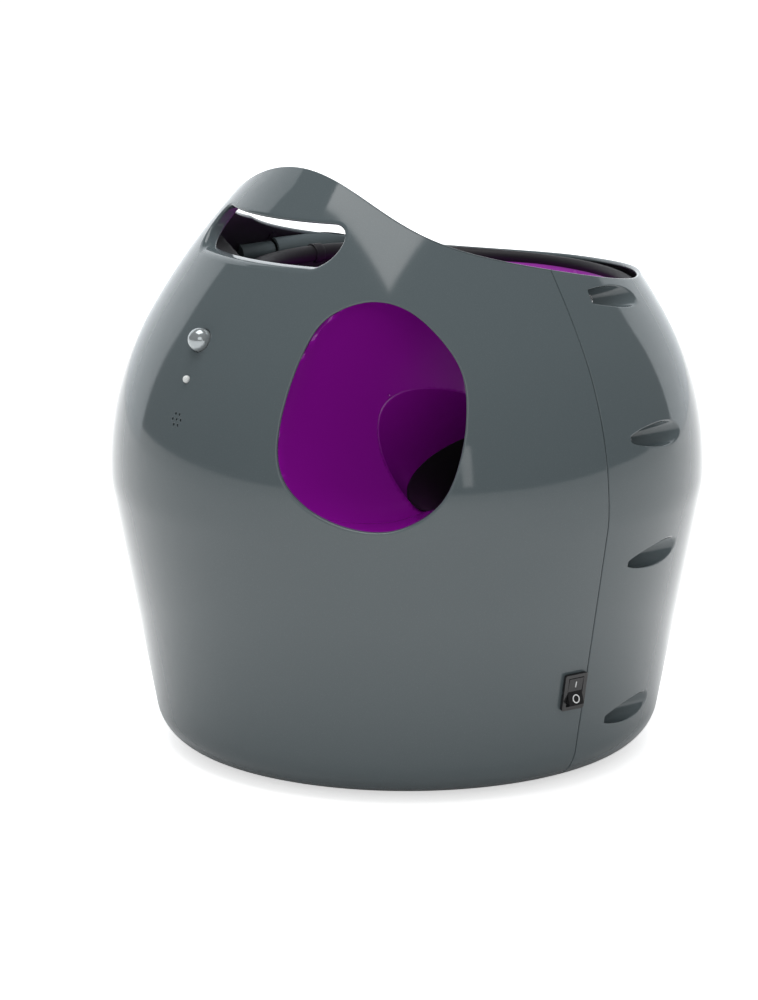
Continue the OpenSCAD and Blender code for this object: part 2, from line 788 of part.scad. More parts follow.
module launch_barrel() {
    color([0.07, 0.07, 0.08]) launcher() difference() {
        translate([0, 0, -breech_t]) cylinder(r = barrel_r, h = breech_t - guide_len - 0.3, $fn = fine);
        translate([0, 0, -breech_t - 1]) cylinder(r = bore_r, h = breech_t + 2, $fn = fine);
        // port for the ball
        translate([0, 0, -chute_t]) rotate([0, 0, chute_turn]) rotate([-90, 0, 0])
            cylinder(r = port_r, h = 60, $fn = fine);
        // slot for the rack's web
        translate([-web_w / 2 - 1, -barrel_r - 5, -breech_t - 1])
            cube([web_w + 2, 20, breech_t - face_t + 14]);
    }
}

cap_plug = 3;
module breech_cap() {
    color([0.13, 0.13, 0.14]) launcher() translate([0, 0, -breech_t]) difference() {
        union() {
            translate([0, 0, -3.2]) cylinder(r = barrel_r, h = 3, $fn = fine);
            translate([0, 0, -3.2]) cylinder(r = bore_r - 0.1, h = 3.2 + cap_plug, $fn = fine);
            translate([0, 0, cap_plug]) cylinder(r = spring_r - spring_wire / 2 - 0.8, h = 14, $fn = small);
        }
        translate([0, 0, -10]) cylinder(r = spring_r - spring_wire / 2 - 4, h = 40, $fn = small);
        for (a = [0:60:300]) rotate([0, 0, a + 30]) translate([28, 0, -5]) cylinder(r = 3, h = 20, $fn = small);
    }
}

function rack_tooth(m, play) = let (half_w = PI * m / 4 - play / 4, add = 0.85 * m, ded = 1.2 * m,
    tn = tan(20)) [[-half_w - ded * tn, ded], [-half_w + add * tn, -add], [half_w - add * tn, -add],
    [half_w + ded * tn, ded]];

module plunger() {
    piston_r = bore_r - plunger_gap;
    pitch = PI * rack_module;
    color([0.85, 0.84, 0.8]) launcher() {
        difference() {
            translate([0, 0, -face_t - skirt_len]) cylinder(r = piston_r, h = skirt_len, $fn = fine);
            translate([0, 0, -face_t - skirt_len - 1]) cylinder(r = piston_r - 2.5, h = skirt_len - 4, $fn = fine);
        }
        // web and rack under the barrel
        translate([-web_w / 2, -rack_y - 1, -face_t - skirt_len])
            cube([web_w, rack_y + 1 - piston_r + 1.5, skirt_len]);
        difference() {
            translate([-rack_w / 2, -rack_pitch_y + 1.2 * rack_module - eps, -drive_t - 4])
                cube([rack_w, rack_pitch_y - rack_y - 1.2 * rack_module + eps, rack_len]);
        }
        for (k = [0:7]) translate([0, -rack_pitch_y, -drive_t + k * pitch])
            rotate([0, 90, 0]) rotate([0, 0, 90]) linear_extrude(rack_w, center = true)
                polygon([for (p = rack_tooth(rack_module, backlash)) [p[1], p[0]]]);
    }
}

pad_t = 3;
module plunger_pad() {
    color([0.1, 0.1, 0.1]) launcher() translate([0, 0, -face_t])
        rotate_extrude($fn = fine) polygon([
            [0, 0], [bore_r - 4, 0], [bore_r - 4, pad_t + 2], [bore_r - 6, pad_t + 2],
            [bore_r - 14, pad_t], [0, pad_t - 1]]);
}

// ---- launch spring: one tube swept along a helix ----
spring_from = -breech_t + cap_plug + spring_wire / 2;
spring_to = -face_t - 5 - spring_wire / 2 - 0.2;
spring_step = 12;
spring_sides = 6;
function coil_at(i) = let (n = spring_turns * spring_step, a = 360 * i / spring_step)
    [spring_r * cos(a), spring_r * sin(a), spring_from + (spring_to - spring_from) * i / n];
echo(least_gap_between_turns = (spring_to - spring_from) / spring_turns - spring_wire);
module launch_spring() {
    n = floor(spring_turns * spring_step);
    m = spring_sides;
    rings = [for (i = [0:n]) let (a = 360 * i / spring_step, c = coil_at(i))
        [for (k = [0:m - 1]) let (b = 360 * k / m)
            c + spring_wire / 2 * (cos(b) * [cos(a), sin(a), 0] + [0, 0, sin(b)])]];
    color("silver") launcher()
        polyhedron(
            points = [for (r = rings) each r],
            faces = concat(
                [for (i = [0:n - 1], k = [0:m - 1], h = [0, 1]) let (q = (k + 1) % m)
                    h == 0 ? [i * m + k, (i + 1) * m + k, i * m + q]
                        : [i * m + q, (i + 1) * m + k, (i + 1) * m + q]],
                [[for (k = [0:m - 1]) k]],
                [[for (k = [m - 1:-1:0]) n * m + k]]));
}

// ---- chassis ----
plate_a = chassis_out[0];
plate_b = chassis_out[1] - plate_t;
chassis_line = [[8, 0], [112, 0], [128, 50], [131, 82], [57, 141], [38, 128], [20, 98], [6, 90], [6, 0]];
tie_at = [[100, 22], [14, 22], [8, 86]];
module chassis_plate(x) {
    side_view() translate([0, 0, x]) linear_extrude(plate_t) polygon(chassis_line);
}

module launcher_chassis() {
    color([0.2, 0.2, 0.22]) difference() {
        union() {
            chassis_plate(plate_a);
            chassis_plate(plate_b);
            side_view() {
                for (p = tie_at) translate([p[0], p[1], plate_a])
                    cylinder(r = 4, h = plate_b + plate_t - plate_a, $fn = small);
                translate([left_foot, floor_top, plate_a - foot_w]) cube([foot_end - left_foot, 3, foot_w + 1]);
                translate([right_foot, floor_top, plate_b + plate_t - 1])
                    cube([foot_end - right_foot, 3, foot_w + 1]);
                for (c = [drive_at, idler_at]) for (z = [plate_a, plate_b])
                    translate([c[0], c[1], z - 1.5]) cylinder(r = shaft_r + 2.4, h = plate_t + 3, $fn = small);
            }
        }
        launcher() translate([0, 0, -breech_t - 60])
            cylinder(r = barrel_r + fit, h = breech_t + 100, $fn = fine);
        translate([-300, -300, -100]) cube([600, 600, 100 + floor_top]);
        chassis_hole(pilot_r, 0, 40);
        side_view() {
            translate([drive_at[0], drive_at[1], plate_a - 20])
                cylinder(r = shaft_r + shaft_gap, h = 80, $fn = small);
            translate([idler_at[0], idler_at[1], plate_a - 20])
                cylinder(r = idler_shaft_r + 0.02, h = 80, $fn = small);
            translate([motor_at[0], motor_at[1], plate_a - 20])
                cylinder(r = motor_boss_r + 0.1, h = 30, $fn = small);
            // lightening hole
            translate([96, 44, plate_a - 20]) cylinder(r = 9, h = 80, $fn = small);
        }
    }
}

module chassis_screws() {
    color("silver") {
        chassis_hole(3.3, base_z + 0.8, base_z + 2.9);
        chassis_hole(pilot_r - 0.05, base_z + 2.8, floor_top + 2.6);
    }
}

// ---- gears ----
pressure = 20;
function involute(rb, r) = let (a = acos(rb / r)) tan(a) * 180 / PI - a;
function flank(m, z, play, n) = let (
    rp = m * z / 2, rb = rp * cos(pressure), ro = rp + 0.95 * m,
    half_a = 90 / z - play / 4 / rp * 180 / PI + involute(rb, rp), r0 = max(rb, rp - 1.1 * m))
    [for (i = [0:n]) let (r = mix(r0, ro, i / n)) [r, half_a - involute(rb, r)]];
module spur(m, z, play, n = 4) {
    rr = m * z / 2 - 1.2 * m;
    f = flank(m, z, play, n);
    polygon([for (k = [0:z - 1]) let (a = 360 * k / z)
        each concat(
            [[rr * cos(a - f[0][1]), rr * sin(a - f[0][1])]],
            [for (p = f) [p[0] * cos(a - p[1]), p[0] * sin(a - p[1])]],
            [for (i = [n:-1:0]) [f[i][0] * cos(a + f[i][1]), f[i][0] * sin(a + f[i][1])]],
            [[rr * cos(a + f[0][1]), rr * sin(a + f[0][1])]])]);
}
// Turn of the second gear that meshes with the first; way is the bearing from first to second
function mesh_turn(z1, a1, z2, way) = let (p = (way - a1) * z1 / 360, q = p - floor(p))
    way + 180 - (0.5 - q) * 360 / z2;
drive_turn = 90 - climb - 180 / rack_pinion_teeth;
idler_way = 180 - atan(0.033);
motor_way = 180 - atan(0.025);
idler_turn = mesh_turn(drive_teeth, 0, pinion_teeth, idler_way);
motor_turn = mesh_turn(idler_teeth, 0, pinion_teeth, motor_way);
drive_x = -25;
idler_x = drive_x - gear_w - 2;
idler_shaft_r = 2.5;
motor_shaft_r = 1.5;
motor_boss_r = 6;

module gear_at(place, x) {
    side_view() translate([place[0], place[1], x]) children();
}

module drive_gear() {
    color([0.9, 0.88, 0.82]) gear_at(drive_at, 0) difference() {
        union() {
            translate([0, 0, drive_x]) linear_extrude(gear_w + 1) spur(gear_module, drive_teeth, backlash, 2);
            translate([0, 0, -5]) rotate([0, 0, drive_turn]) linear_extrude(10) spur(rack_module, rack_pinion_teeth, backlash);
            translate([0, 0, drive_x + gear_w]) cylinder(r = 7, h = -drive_x - gear_w - 4, $fn = small);
        }
        translate([0, 0, drive_x - 1]) cylinder(r = shaft_r, h = 60, $fn = small);
        translate([0, 0, drive_x - 1]) for (a = [0:60:300]) rotate([0, 0, a]) translate([15, 0, 0])
            cylinder(r = 4.5, h = gear_w + 3, $fn = small);
    }
}

module drive_shaft() {
    color("silver") gear_at(drive_at, plate_a - 3) cylinder(r = shaft_r, h = plate_b + plate_t - plate_a + 6, $fn = small);
}

module idler_gear() {
    color([0.9, 0.88, 0.82]) gear_at(idler_at, 0) difference() {
        union() {
            translate([0, 0, idler_x]) linear_extrude(gear_w) spur(gear_module, idler_teeth, backlash, 2);
            translate([0, 0, idler_x + gear_w - 0.5]) rotate([0, 0, idler_turn])
                linear_extrude(gear_w + 4) spur(gear_module, pinion_teeth, backlash, 3);
        }
        translate([0, 0, idler_x - 1]) cylinder(r = idler_shaft_r + shaft_gap, h = 40, $fn = small);
    }
}

module idler_shaft() {
    color("silver") gear_at(idler_at, plate_a - 2)
        cylinder(r = idler_shaft_r, h = plate_b + plate_t - plate_a + 4, $fn = small);
}

module motor_pinion() {
    color("goldenrod") gear_at(motor_at, idler_x) rotate([0, 0, motor_turn]) difference() {
        linear_extrude(gear_w + 1) spur(gear_module, pinion_teeth, backlash, 3);
        translate([0, 0, -1]) cylinder(r = motor_shaft_r, h = gear_w + 3, $fn = small);
    }
}

motor_r = 17.8;
motor_l = 50;
module motor_shaft() {
    color("silver") gear_at(motor_at, plate_a - 8) cylinder(r = motor_shaft_r, h = idler_x + gear_w + 1.5 - plate_a + 8, $fn = small);
}

module drive_motor() {
    color([0.6, 0.6, 0.62]) gear_at(motor_at, plate_a) difference() {
        union() {
            translate([0, 0, -motor_l - 0.2]) rotate_extrude($fn = fine) polygon([
                [0, 0], [motor_r - 2, 0], [motor_r, 2], [motor_r, motor_l - 1.5], [motor_r - 1.5, motor_l], [0, motor_l]]);
            translate([0, 0, -1]) cylinder(r = motor_boss_r, h = 3.5, $fn = small);
            translate([0, 0, -motor_l - 5]) cylinder(r = 5, h = 5, $fn = small);
            for (s = [-1, 1]) translate([s * 11, 0, -motor_l - 4]) cube([2.8, 0.8, 9], center = true);
        }
        translate([0, 0, -9]) cylinder(r = motor_shaft_r + shaft_gap, h = 20, $fn = small);
    }
}

// ---- electronics ----
board_size = [80, 58, 1.6];
board_x = -50;
board_z = tray_top + tray_wall + 6;
module control_board() {
    posts = [[-1, -1], [-1, 1], [1, -1], [1, 1]];
    color([0.1, 0.35, 0.18]) {
        translate([board_x, 0, board_z + board_size[2] / 2]) cube(board_size, center = true);
        for (p = posts) translate([board_x + p[0] * (board_size[0] / 2 - 4), p[1] * (board_size[1] / 2 - 4),
            tray_top + tray_wall]) cylinder(r = 3, h = 6.5, $fn = small);
        translate([board_x, 0, board_z + board_size[2] - 0.1]) {
            translate([-8, -6, 0]) cube([16, 12, 2.2]);
            for (i = [0:2]) translate([-28 + i * 13, 18, 0]) cylinder(r = 4.5, h = 12, $fn = small);
            for (i = [0:1]) translate([20, -20 + i * 18, 0]) cube([14, 11, 12]);
            translate([-34, -22, 0]) cube([10, 7, 7]);
        }
    }
}

module lens_at(az) {
    color([0.85, 0.9, 0.92]) on_wall(az, shell_r(lens_z), lens_z, lens_slope) {
        translate([0, 0, 0.8]) intersection() {
            sphere(lens_r, $fn = small);
            translate([0, 0, 0]) cylinder(r = lens_r + 1, h = lens_r + 1, $fn = small);
        }
        translate([0, 0, -wall - 1.2]) cylinder(r = lens_r, h = wall + 2.2, $fn = small);
        translate([0, 0, -wall - 2]) cylinder(r = lens_r + 1.7, h = 1.2, $fn = small);
    }
}
module front_sensor_lens() {
    lens_at(0);
}
module rear_sensor_lens() {
    lens_at(180);
}

module sensor_board_at(az) {
    color([0.1, 0.35, 0.18]) on_wall(az, shell_r(lens_z), lens_z, lens_slope) translate([0, -1, -wall - 2.1]) {
        translate([-8, -8, -1.6]) cube([16, 16, 1.6]);
        translate([0, 0, -5]) cylinder(r = 4, h = 4, $fn = small);
    }
}
module front_sensor_board() {
    sensor_board_at(0);
}
module rear_sensor_board() {
    sensor_board_at(180);
}

module status_light() {
    color([0.92, 0.94, 0.95]) on_wall(0, shell_r(led_z), led_z, led_slope) {
        translate([0, 0, -wall - 2]) cylinder(r = led_r, h = wall + 2, $fn = small);
        intersection() {
            sphere(led_r, $fn = small);
            cylinder(r = led_r + 1, h = led_r + 1, $fn = small);
        }
        translate([0, 0, -wall - 3]) cylinder(r = led_r + 0.9, h = 1.6, $fn = small);
    }
}

module sounder() {
    color([0.1, 0.1, 0.1]) on_wall(0, shell_r(sounder_z), sounder_z, sounder_slope)
        translate([0, 0, -wall - 6.5]) difference() {
            cylinder(r = sounder_r, h = 5, $fn = small);
            translate([0, 0, 4]) cylinder(r = sounder_r - 2, h = 2, $fn = small);
        }
}

// ---- power switch ----
bezel_t = 1.8;
body_d = 14;
rocker_w = 9.6;
rocker_half = 7.4;
pivot_z = -0.6;
module switch_frame() {
    on_wall(switch_az, switch_r, switch_z, -draft) translate([0, 0, 0.35]) children();
}
module power_switch() {
    color([0.05, 0.05, 0.05]) switch_frame() difference() {
        union() {
            linear_extrude(bezel_t) round_rect(switch_w, switch_h, 1.2);
            translate([0, 0, -body_d]) linear_extrude(body_d + 0.5) square([hole_w - 0.1, hole_h - 0.1], center = true);
        }
        translate([0, 0, -9]) linear_extrude(20) square([rocker_w + 0.6, hole_h - 2.2], center = true);
        translate([-hole_w, 0, pivot_z]) rotate([0, 90, 0]) cylinder(r = 1.25, h = 2 * hole_w, $fn = small);
    }
    color("silver") switch_frame() for (y = [-5, 0, 5])
        translate([0, y, -body_d - 3.4]) cube([4.8, 0.8, 7], center = true);
}

module power_rocker() {
    face = 3.4;
    color([0.07, 0.07, 0.07]) switch_frame() translate([0, 0, pivot_z])
        rotate([-rocker_swing / 2, 0, 0]) {
            rotate([90, 0, 90]) linear_extrude(rocker_w, center = true)
                polygon([[-rocker_half + 0.8, -3], [-rocker_half, face + 0.8], [0, face - 1.2],
                    [rocker_half, face + 0.8], [rocker_half - 0.8, -3]]);
            rotate([0, 90, 0]) cylinder(r = 1.2, h = rocker_w + 2.6, center = true, $fn = small);
        }
}

// ---- distance control ----
dial_h = 6.4;
dial_gap = 0.6;
module dial_frame() {
    on_wall(180, shell_r(dial_z), dial_z, dial_slope) children();
}
module distance_dial() {
    color([0.12, 0.12, 0.13]) dial_frame() {
        translate([0, 0, dial_gap + 0.9]) difference() {
            union() {
                cylinder(r = dial_r, h = dial_h / 2, $fn = fine);
                cylinder(r = dial_r - 3, h = dial_h * 0.7, $fn = fine);
                translate([-2.6, 4 - dial_r, 0]) cube([5.2, 2 * dial_r - 8, dial_h]);
            }
            for (a = [0:20:340]) rotate([0, 0, a]) translate([dial_r + 0.6, 0, -1])
                cylinder(r = 1.8, h = 8, $fn = small);
        }
        translate([0, 0, -wall - 8]) cylinder(r = dial_shaft_r, h = wall + 8 + dial_gap + 1.5, $fn = small);
    }
}
module distance_control() {
    color([0.2, 0.2, 0.22]) dial_frame() translate([0, 0, -wall - 12]) difference() {
        union() {
            cylinder(r = 9, h = 11, $fn = small);
            translate([-10, -10, 0]) cube([20, 20, 2]);
        }
        translate([0, 0, 3]) cylinder(r = dial_shaft_r + shaft_gap, h = 20, $fn = small);
    }
}

module power_inlet() {
    color([0.06, 0.06, 0.06]) on_wall(180, shell_r(inlet_z), inlet_z, -draft) difference() {
        union() {
            translate([0, 0, -13]) cylinder(r = inlet_r, h = 15, $fn = small);
            translate([0, 0, 0.3]) cylinder(r = inlet_r + 2, h = 2, $fn = small);
            translate([0, 0, -wall - 3]) cylinder(r = inlet_r + 2, h = 2.4, $fn = 6);
        }
        difference() {
            translate([0, 0, -9]) cylinder(r = 2.9, h = 20, $fn = small);
            translate([0, 0, -10]) cylinder(r = 1, h = 10, $fn = small);
        }
    }
}

front_shell();
rear_shell();
shell_screws();
base_plate();
rubber_feet();
battery_door();
door_screw();
battery_tray();
battery_cells();
battery_contacts();
hopper_collar();
collar_sleeves();
hopper_bowl();
feed_chute();
window_liner();
launch_barrel();
breech_cap();
plunger();
plunger_pad();
launch_spring();
launcher_chassis();
chassis_screws();
drive_gear();
drive_shaft();
idler_gear();
idler_shaft();
motor_pinion();
motor_shaft();
drive_motor();
control_board();
front_sensor_lens();
rear_sensor_lens();
front_sensor_board();
rear_sensor_board();
status_light();
sounder();
power_switch();
power_rocker();
distance_dial();
distance_control();
power_inlet();
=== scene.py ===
# Ball launcher: smooth casing, hopper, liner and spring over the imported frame, with finishes and studio
import json
from math import radians, sin, cos, tan, pi

import bmesh
import bpy
import numpy as np
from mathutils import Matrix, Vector


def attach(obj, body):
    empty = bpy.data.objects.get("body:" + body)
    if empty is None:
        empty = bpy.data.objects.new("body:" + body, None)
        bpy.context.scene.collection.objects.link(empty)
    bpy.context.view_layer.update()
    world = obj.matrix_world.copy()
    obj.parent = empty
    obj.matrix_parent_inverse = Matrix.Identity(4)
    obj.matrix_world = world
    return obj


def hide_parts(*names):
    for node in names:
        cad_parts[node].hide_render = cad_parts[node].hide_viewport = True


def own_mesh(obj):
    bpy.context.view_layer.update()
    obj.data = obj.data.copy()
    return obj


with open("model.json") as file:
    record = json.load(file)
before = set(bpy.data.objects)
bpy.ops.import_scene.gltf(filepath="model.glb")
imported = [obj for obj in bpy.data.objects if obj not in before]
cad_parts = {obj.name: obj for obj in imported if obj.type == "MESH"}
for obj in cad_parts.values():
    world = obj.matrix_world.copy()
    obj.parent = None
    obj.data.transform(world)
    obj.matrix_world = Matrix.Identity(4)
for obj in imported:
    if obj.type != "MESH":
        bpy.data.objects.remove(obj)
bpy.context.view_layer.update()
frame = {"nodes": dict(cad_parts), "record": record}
nodes = frame["nodes"]
scene = bpy.context.scene
mm = 0.001


# ---------- meshes from arrays ----------

class Patches:
    # collects grids of points and their faces, in millimetres, into one mesh
    def __init__(self):
        self.points, self.quads, self.tris, self.count = [], [], [], 0

    def add(self, points, quads=None, tris=None, toward=None, judged=None):
        # faces are turned over where the first judged of them, or all, look the wrong way
        points = np.asarray(points, float).reshape(-1, 3)
        for store, faces in ((self.quads, quads), (self.tris, tris)):
            if faces is not None and len(faces):
                across = np.cross(points[faces[:, 2]] - points[faces[:, 0]],
                                  points[faces[:, -1]] - points[faces[:, 1]])
                faces = faces[np.linalg.norm(across, axis=1) > 1e-5]
                if toward is not None and faceTurn(points, faces[:judged], toward) < 0:
                    faces = faces[:, ::-1]
                store.append(faces + self.count)
        self.points.append(points)
        self.count += len(points)
        return self

    def grid(self, points, wrapU=False, wrapV=False, toward=None, judged=None):
        # points[i, j]: i runs along u, j along v
        return self.add(points, gridQuads(*points.shape[:2], wrapU, wrapV), toward=toward, judged=judged)


def faceTurn(points, faces, toward):
    # sum of face normal times the wanted direction, which is a point to face away from or a function
    a, b, c = (points[faces[:, k]] for k in range(3))
    middle = (a + b + c) / 3
    want = toward(middle) if callable(toward) else middle - np.asarray(toward, float)
    return np.sum(np.cross(b - a, c - a) * want)


def facing(*direction):
    return lambda p: np.array(direction, float) + 0 * p


def fromAxis(origin, axis, way=1):
    # away from a line, or with way -1 towards it
    return lambda p: way * ((p - origin) - ((p - origin) @ axis)[:, None] * axis)


def gridQuads(nu, nv, wrapU=False, wrapV=False):
    i = np.arange(nu if wrapU else nu - 1)[:, None]
    j = np.arange(nv if wrapV else nv - 1)[None, :]
    i2, j2 = (i + 1) % nu, (j + 1) % nv
    return np.stack([i * nv + j, i2 * nv + j, i2 * nv + j2, i * nv + j2], -1).reshape(-1, 4)


def fullTurn(count):
    return np.linspace(0, 2 * pi, count, endpoint=False)


def halve(low, high, past, steps=34):
    # closes in on the value from which past(value) is true
    for _ in range(steps):
        middle = (low + high) / 2
        beyond = past(middle)
        low, high = np.where(beyond, low, middle), np.where(beyond, middle, high)
    return (low + high) / 2


def weldMesh(mesh, flat=None):
    # joins points that coincide and, with flat, faces that lie that flat together
    build = bmesh.new()
    build.from_mesh(mesh)
    bmesh.ops.remove_doubles(build, verts=build.verts, dist=2e-6)
    if flat:
        bmesh.ops.dissolve_limit(build, angle_limit=flat, verts=build.verts, edges=build.edges)
    build.to_mesh(mesh)
    build.free()


def dress(name, mesh, material, node, slot=None, body="casing", sharp=35, modifiers=()):
    # finished object of a mesh: rides on its body and stands for a node
    mesh.shade_smooth()
    mesh.set_sharp_from_angle(angle=radians(sharp))
    mesh.materials.clear()
    mesh.materials.append(material)
    piece = bpy.data.objects.new(name, mesh)
    scene.collection.objects.link(piece)
    for kind, values in modifiers:
        modifier = piece.modifiers.new(kind.title(), kind)
        for key, value in values.items():
            setattr(modifier, key, value)
    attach(piece, body)
    if node:
        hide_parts(node)
    return piece


def addPiece(name, patches, material, node=None, slot=None, weld=False, **looks):
    mesh = bpy.data.meshes.new(name)
    faces = [row for block in patches.quads + patches.tris for row in block.tolist()]
    mesh.from_pydata((np.concatenate(patches.points) * mm).tolist(), [], faces)
    mesh.validate()
    if weld:
        weldMesh(mesh)
    return dress(name, mesh, material, node, slot, **looks)


def cutGrid(surface, uLine, vLine, fields):
    # tensor grid of surface(u, v), trimmed where a field is negative: the vertex nearer to a
    # field's zero line slides onto it, so the edge follows the true curve
    probe, most = 0.05, 0.6
    U, V = (a.astype(float) for a in np.meshgrid(uLine, vLine, indexing="ij"))
    signs = []
    cellU, cellV = np.gradient(uLine)[:, None] + 0 * V, np.gradient(vLine)[None, :] + 0 * U
    for field in fields:
        F = field(surface(U, V))
        marked = np.zeros(F.shape, bool)
        for f, m in ((F, marked), (F.T, marked.T)):
            cross, near = f[:-1] * f[1:] < 0, np.abs(f[:-1]) <= np.abs(f[1:])
            m[:-1] |= cross & near
            m[1:] |= cross & ~near
        u, v = U[marked], V[marked]
        wide, tall = cellU[marked], cellV[marked]
        for _ in range(5):
            p = surface(u, v)
            f = field(p)
            pu, pv = surface(u + wide * probe, v), surface(u, v + tall * probe)
            lu, lv = (np.linalg.norm(q - p, axis=-1) + 1e-9 for q in (pu, pv))
            gu, gv = (field(pu) - f) / lu, (field(pv) - f) / lv
            step = f / (gu * gu + gv * gv + 1e-9) * probe
            u = u - np.clip(step * gu / lu * wide, -wide * most, wide * most)
            v = v - np.clip(step * gv / lv * tall, -tall * most, tall * most)
        U[marked], V[marked] = u, v
        F[marked] = 0
        signs.append(np.sign(F))
    points = surface(U, V)
    quads = gridQuads(*U.shape)
    keepQuad = np.ones(len(quads), bool)
    mixed = np.zeros(len(quads), bool)
    turn = np.zeros(len(quads), bool)
    for s in signs:
        q = s.reshape(-1)[quads]
        keepQuad &= (q >= 0).all(1) & (q > 0).any(1)
        mixed |= (q == 0).any(1) | ((q > 0).any(1) & (q < 0).any(1))
        turn |= q[:, 0] * q[:, 2] < 0
    whole = quads[keepQuad & ~mixed]
    part, turned = quads[mixed], turn[mixed]
    tris = np.concatenate([
        part[~turned][:, [0, 1, 2]], part[~turned][:, [0, 2, 3]],
        part[turned][:, [0, 1, 3]], part[turned][:, [1, 2, 3]]])
    keep = np.ones(len(tris), bool)
    middle = surface(U.reshape(-1)[tris].mean(1), V.reshape(-1)[tris].mean(1))
    for s, field in zip(signs, fields):
        q = s.reshape(-1)[tris]
        keep &= np.where((q == 0).all(1), field(middle) > 0, (q >= 0).all(1))
    tris = tris[keep]
    used = np.unique(np.concatenate([whole.reshape(-1), tris.reshape(-1)]))
    renumber = np.full(U.size, -1)
    renumber[used] = np.arange(len(used))
    return points.reshape(-1, 3)[used], renumber[whole], renumber[tris]


def denseLine(low, high, step, closer=()):
    # evenly stepped line with closer steps over the given stretches
    line = np.linspace(low, high, int(round((high - low) / step)) + 1)
    for a, b, fine in closer:
        line = line[(line < a) | (line > b)]
        line = np.concatenate([line, np.linspace(a, b, int(round((b - a) / fine)) + 1)])
    line = np.sort(line)
    return line[np.concatenate([[True], np.diff(line) > 1e-4])]


def circleOutline(radius, count=48):
    turn = fullTurn(count)
    return lambda grow: np.stack([np.cos(turn), np.sin(turn)], -1) * (radius + grow)


def roundRectOutline(width, height, corner, perCorner=24, perSide=24):
    # four quarter circles joined by straight sides, walked anticlockwise
    def outline(grow):
        r = corner + grow
        hx, hy = width / 2 + grow - r, height / 2 + grow - r
        arcs = []
        for k, (sx, sy) in enumerate(((1, 1), (-1, 1), (-1, -1), (1, -1))):
            a = np.linspace(k * pi / 2, (k + 1) * pi / 2, perCorner)
            arcs.append(np.stack([sx * hx + r * np.cos(a), sy * hy + r * np.sin(a)], -1))
        t = np.linspace(0, 1, perSide)[1:-1, None]
        return np.concatenate([np.concatenate([arc, arc[-1] * (1 - t) + after[0] * t])
                               for arc, after in zip(arcs, arcs[1:] + arcs[:1])])
    return outline


def wallFrame(azimuth, radius, height, slope):
    # origin and axes on the casing: x along increasing azimuth, y up the wall, z outwards
    a, s = radians(azimuth), radians(slope)
    return (np.array([radius * sin(a), -radius * cos(a), height]),
            np.array([cos(a), sin(a), 0.0]),
            np.array([-sin(s) * sin(a), sin(s) * cos(a), cos(s)]),
            np.array([cos(s) * sin(a), -cos(s) * cos(a), sin(s)]))


def reachAround(line):
    # radius of a closed outline at each bearing
    bearing = np.arctan2(line[:, 1], line[:, 0])
    order = np.argsort(bearing)
    size = np.hypot(line[:, 0], line[:, 1])[order]
    return lambda angle: np.interp(angle, bearing[order], size, period=2 * pi)


def outlineField(wall, outline, grow, reach):
    # distance outside a closed outline seen along a wall frame's z
    origin, ax, ay, az = wall
    size = reachAround(outline(grow))

    def field(points):
        x, y, z = ((points - origin) @ a for a in (ax, ay, az))
        return np.where(z > -reach, np.hypot(x, y) - size(np.arctan2(y, x)), 99.0)
    return field


# ---------- casing ----------

casing = dict(bellyRadius=167.5, bellyZ=158, wall=3, draft=10.5, bellyRound=60, domeRadius=175,
              shoulderSlope=30, shoulderRadius=400, topSlope=50, footRound=24, baseZ=2,
              holeRadius=112, seam=0.4, seamRound=0.6, rimHeight=279, rimFall=0.115,
              hoodPull=480, hoodY=86, rimDrop=2.8, rimTilt=0.029,
              flankDrop=6.5, flankPull=750, flankLimit=62, sagDrop=4.3, sagAt=122, sagAhead=32,
              sagBehind=20, rimRound=1.1, step=2.2, innerStep=4.0)


def casingCurve(c):
    # half section from the foot to the hood: lines and arcs that meet smoothly, by arc length
    a = radians(c["draft"])
    belly = (c["bellyRadius"] - c["bellyRound"], c["bellyZ"])
    bellyFoot = (belly[0] + c["bellyRound"] * cos(a), belly[1] - c["bellyRound"] * sin(a))
    footZ = c["baseZ"] + c["footRound"]
    startZ = footZ - c["footRound"] * sin(a)
    footR = bellyFoot[0] - (bellyFoot[1] - startZ) * tan(a) - c["footRound"] * cos(a)
    dome = (c["bellyRadius"] - c["domeRadius"], c["bellyZ"])
    b = radians(c["shoulderSlope"])
    shoulder = (dome[0] + (c["domeRadius"] - c["shoulderRadius"]) * cos(b),
                dome[1] + (c["domeRadius"] - c["shoulderRadius"]) * sin(b))
    top = radians(c["topSlope"])
    lengths = [footR - c["holeRadius"], c["footRound"] * (pi / 2 - a),
               (bellyFoot[1] - startZ) / cos(a), c["bellyRound"] * a,
               c["domeRadius"] * b, c["shoulderRadius"] * (top - b)]
    return dict(
        knots=np.concatenate([[0], np.cumsum(lengths)]),
        angles=np.array([-pi / 2, -pi / 2, -a, -a, 0, b, top]),
        centre=np.array([(0, 0), (footR, footZ), (0, 0), belly, dome, shoulder]),
        radius=np.array([0, c["footRound"], 0, c["bellyRound"], c["domeRadius"], c["shoulderRadius"]]),
        start=np.array([(c["holeRadius"], c["baseZ"]), (0, 0),
                        (footR + c["footRound"] * cos(a), startZ), (0, 0), (0, 0), (0, 0)]))


curve = casingCurve(casing)


def sectionAt(s, off=0.0):
    # radius, height and normal slope at arc length s, moved inwards by off
    s = np.asarray(s, float)
    k = np.clip(np.searchsorted(curve["knots"], s, side="right") - 1, 0, 5)
    a = np.interp(s, curve["knots"], curve["angles"])
    line = np.isin(k, (0, 2))
    along = s - curve["knots"][k]
    r = np.where(line, curve["start"][k, 0] - along * np.sin(a),
                 curve["centre"][k, 0] + curve["radius"][k] * np.cos(a))
    z = np.where(line, curve["start"][k, 1] + along * np.cos(a),
                 curve["centre"][k, 1] + curve["radius"][k] * np.sin(a))
    return r - off * np.cos(a), z - off * np.sin(a), a


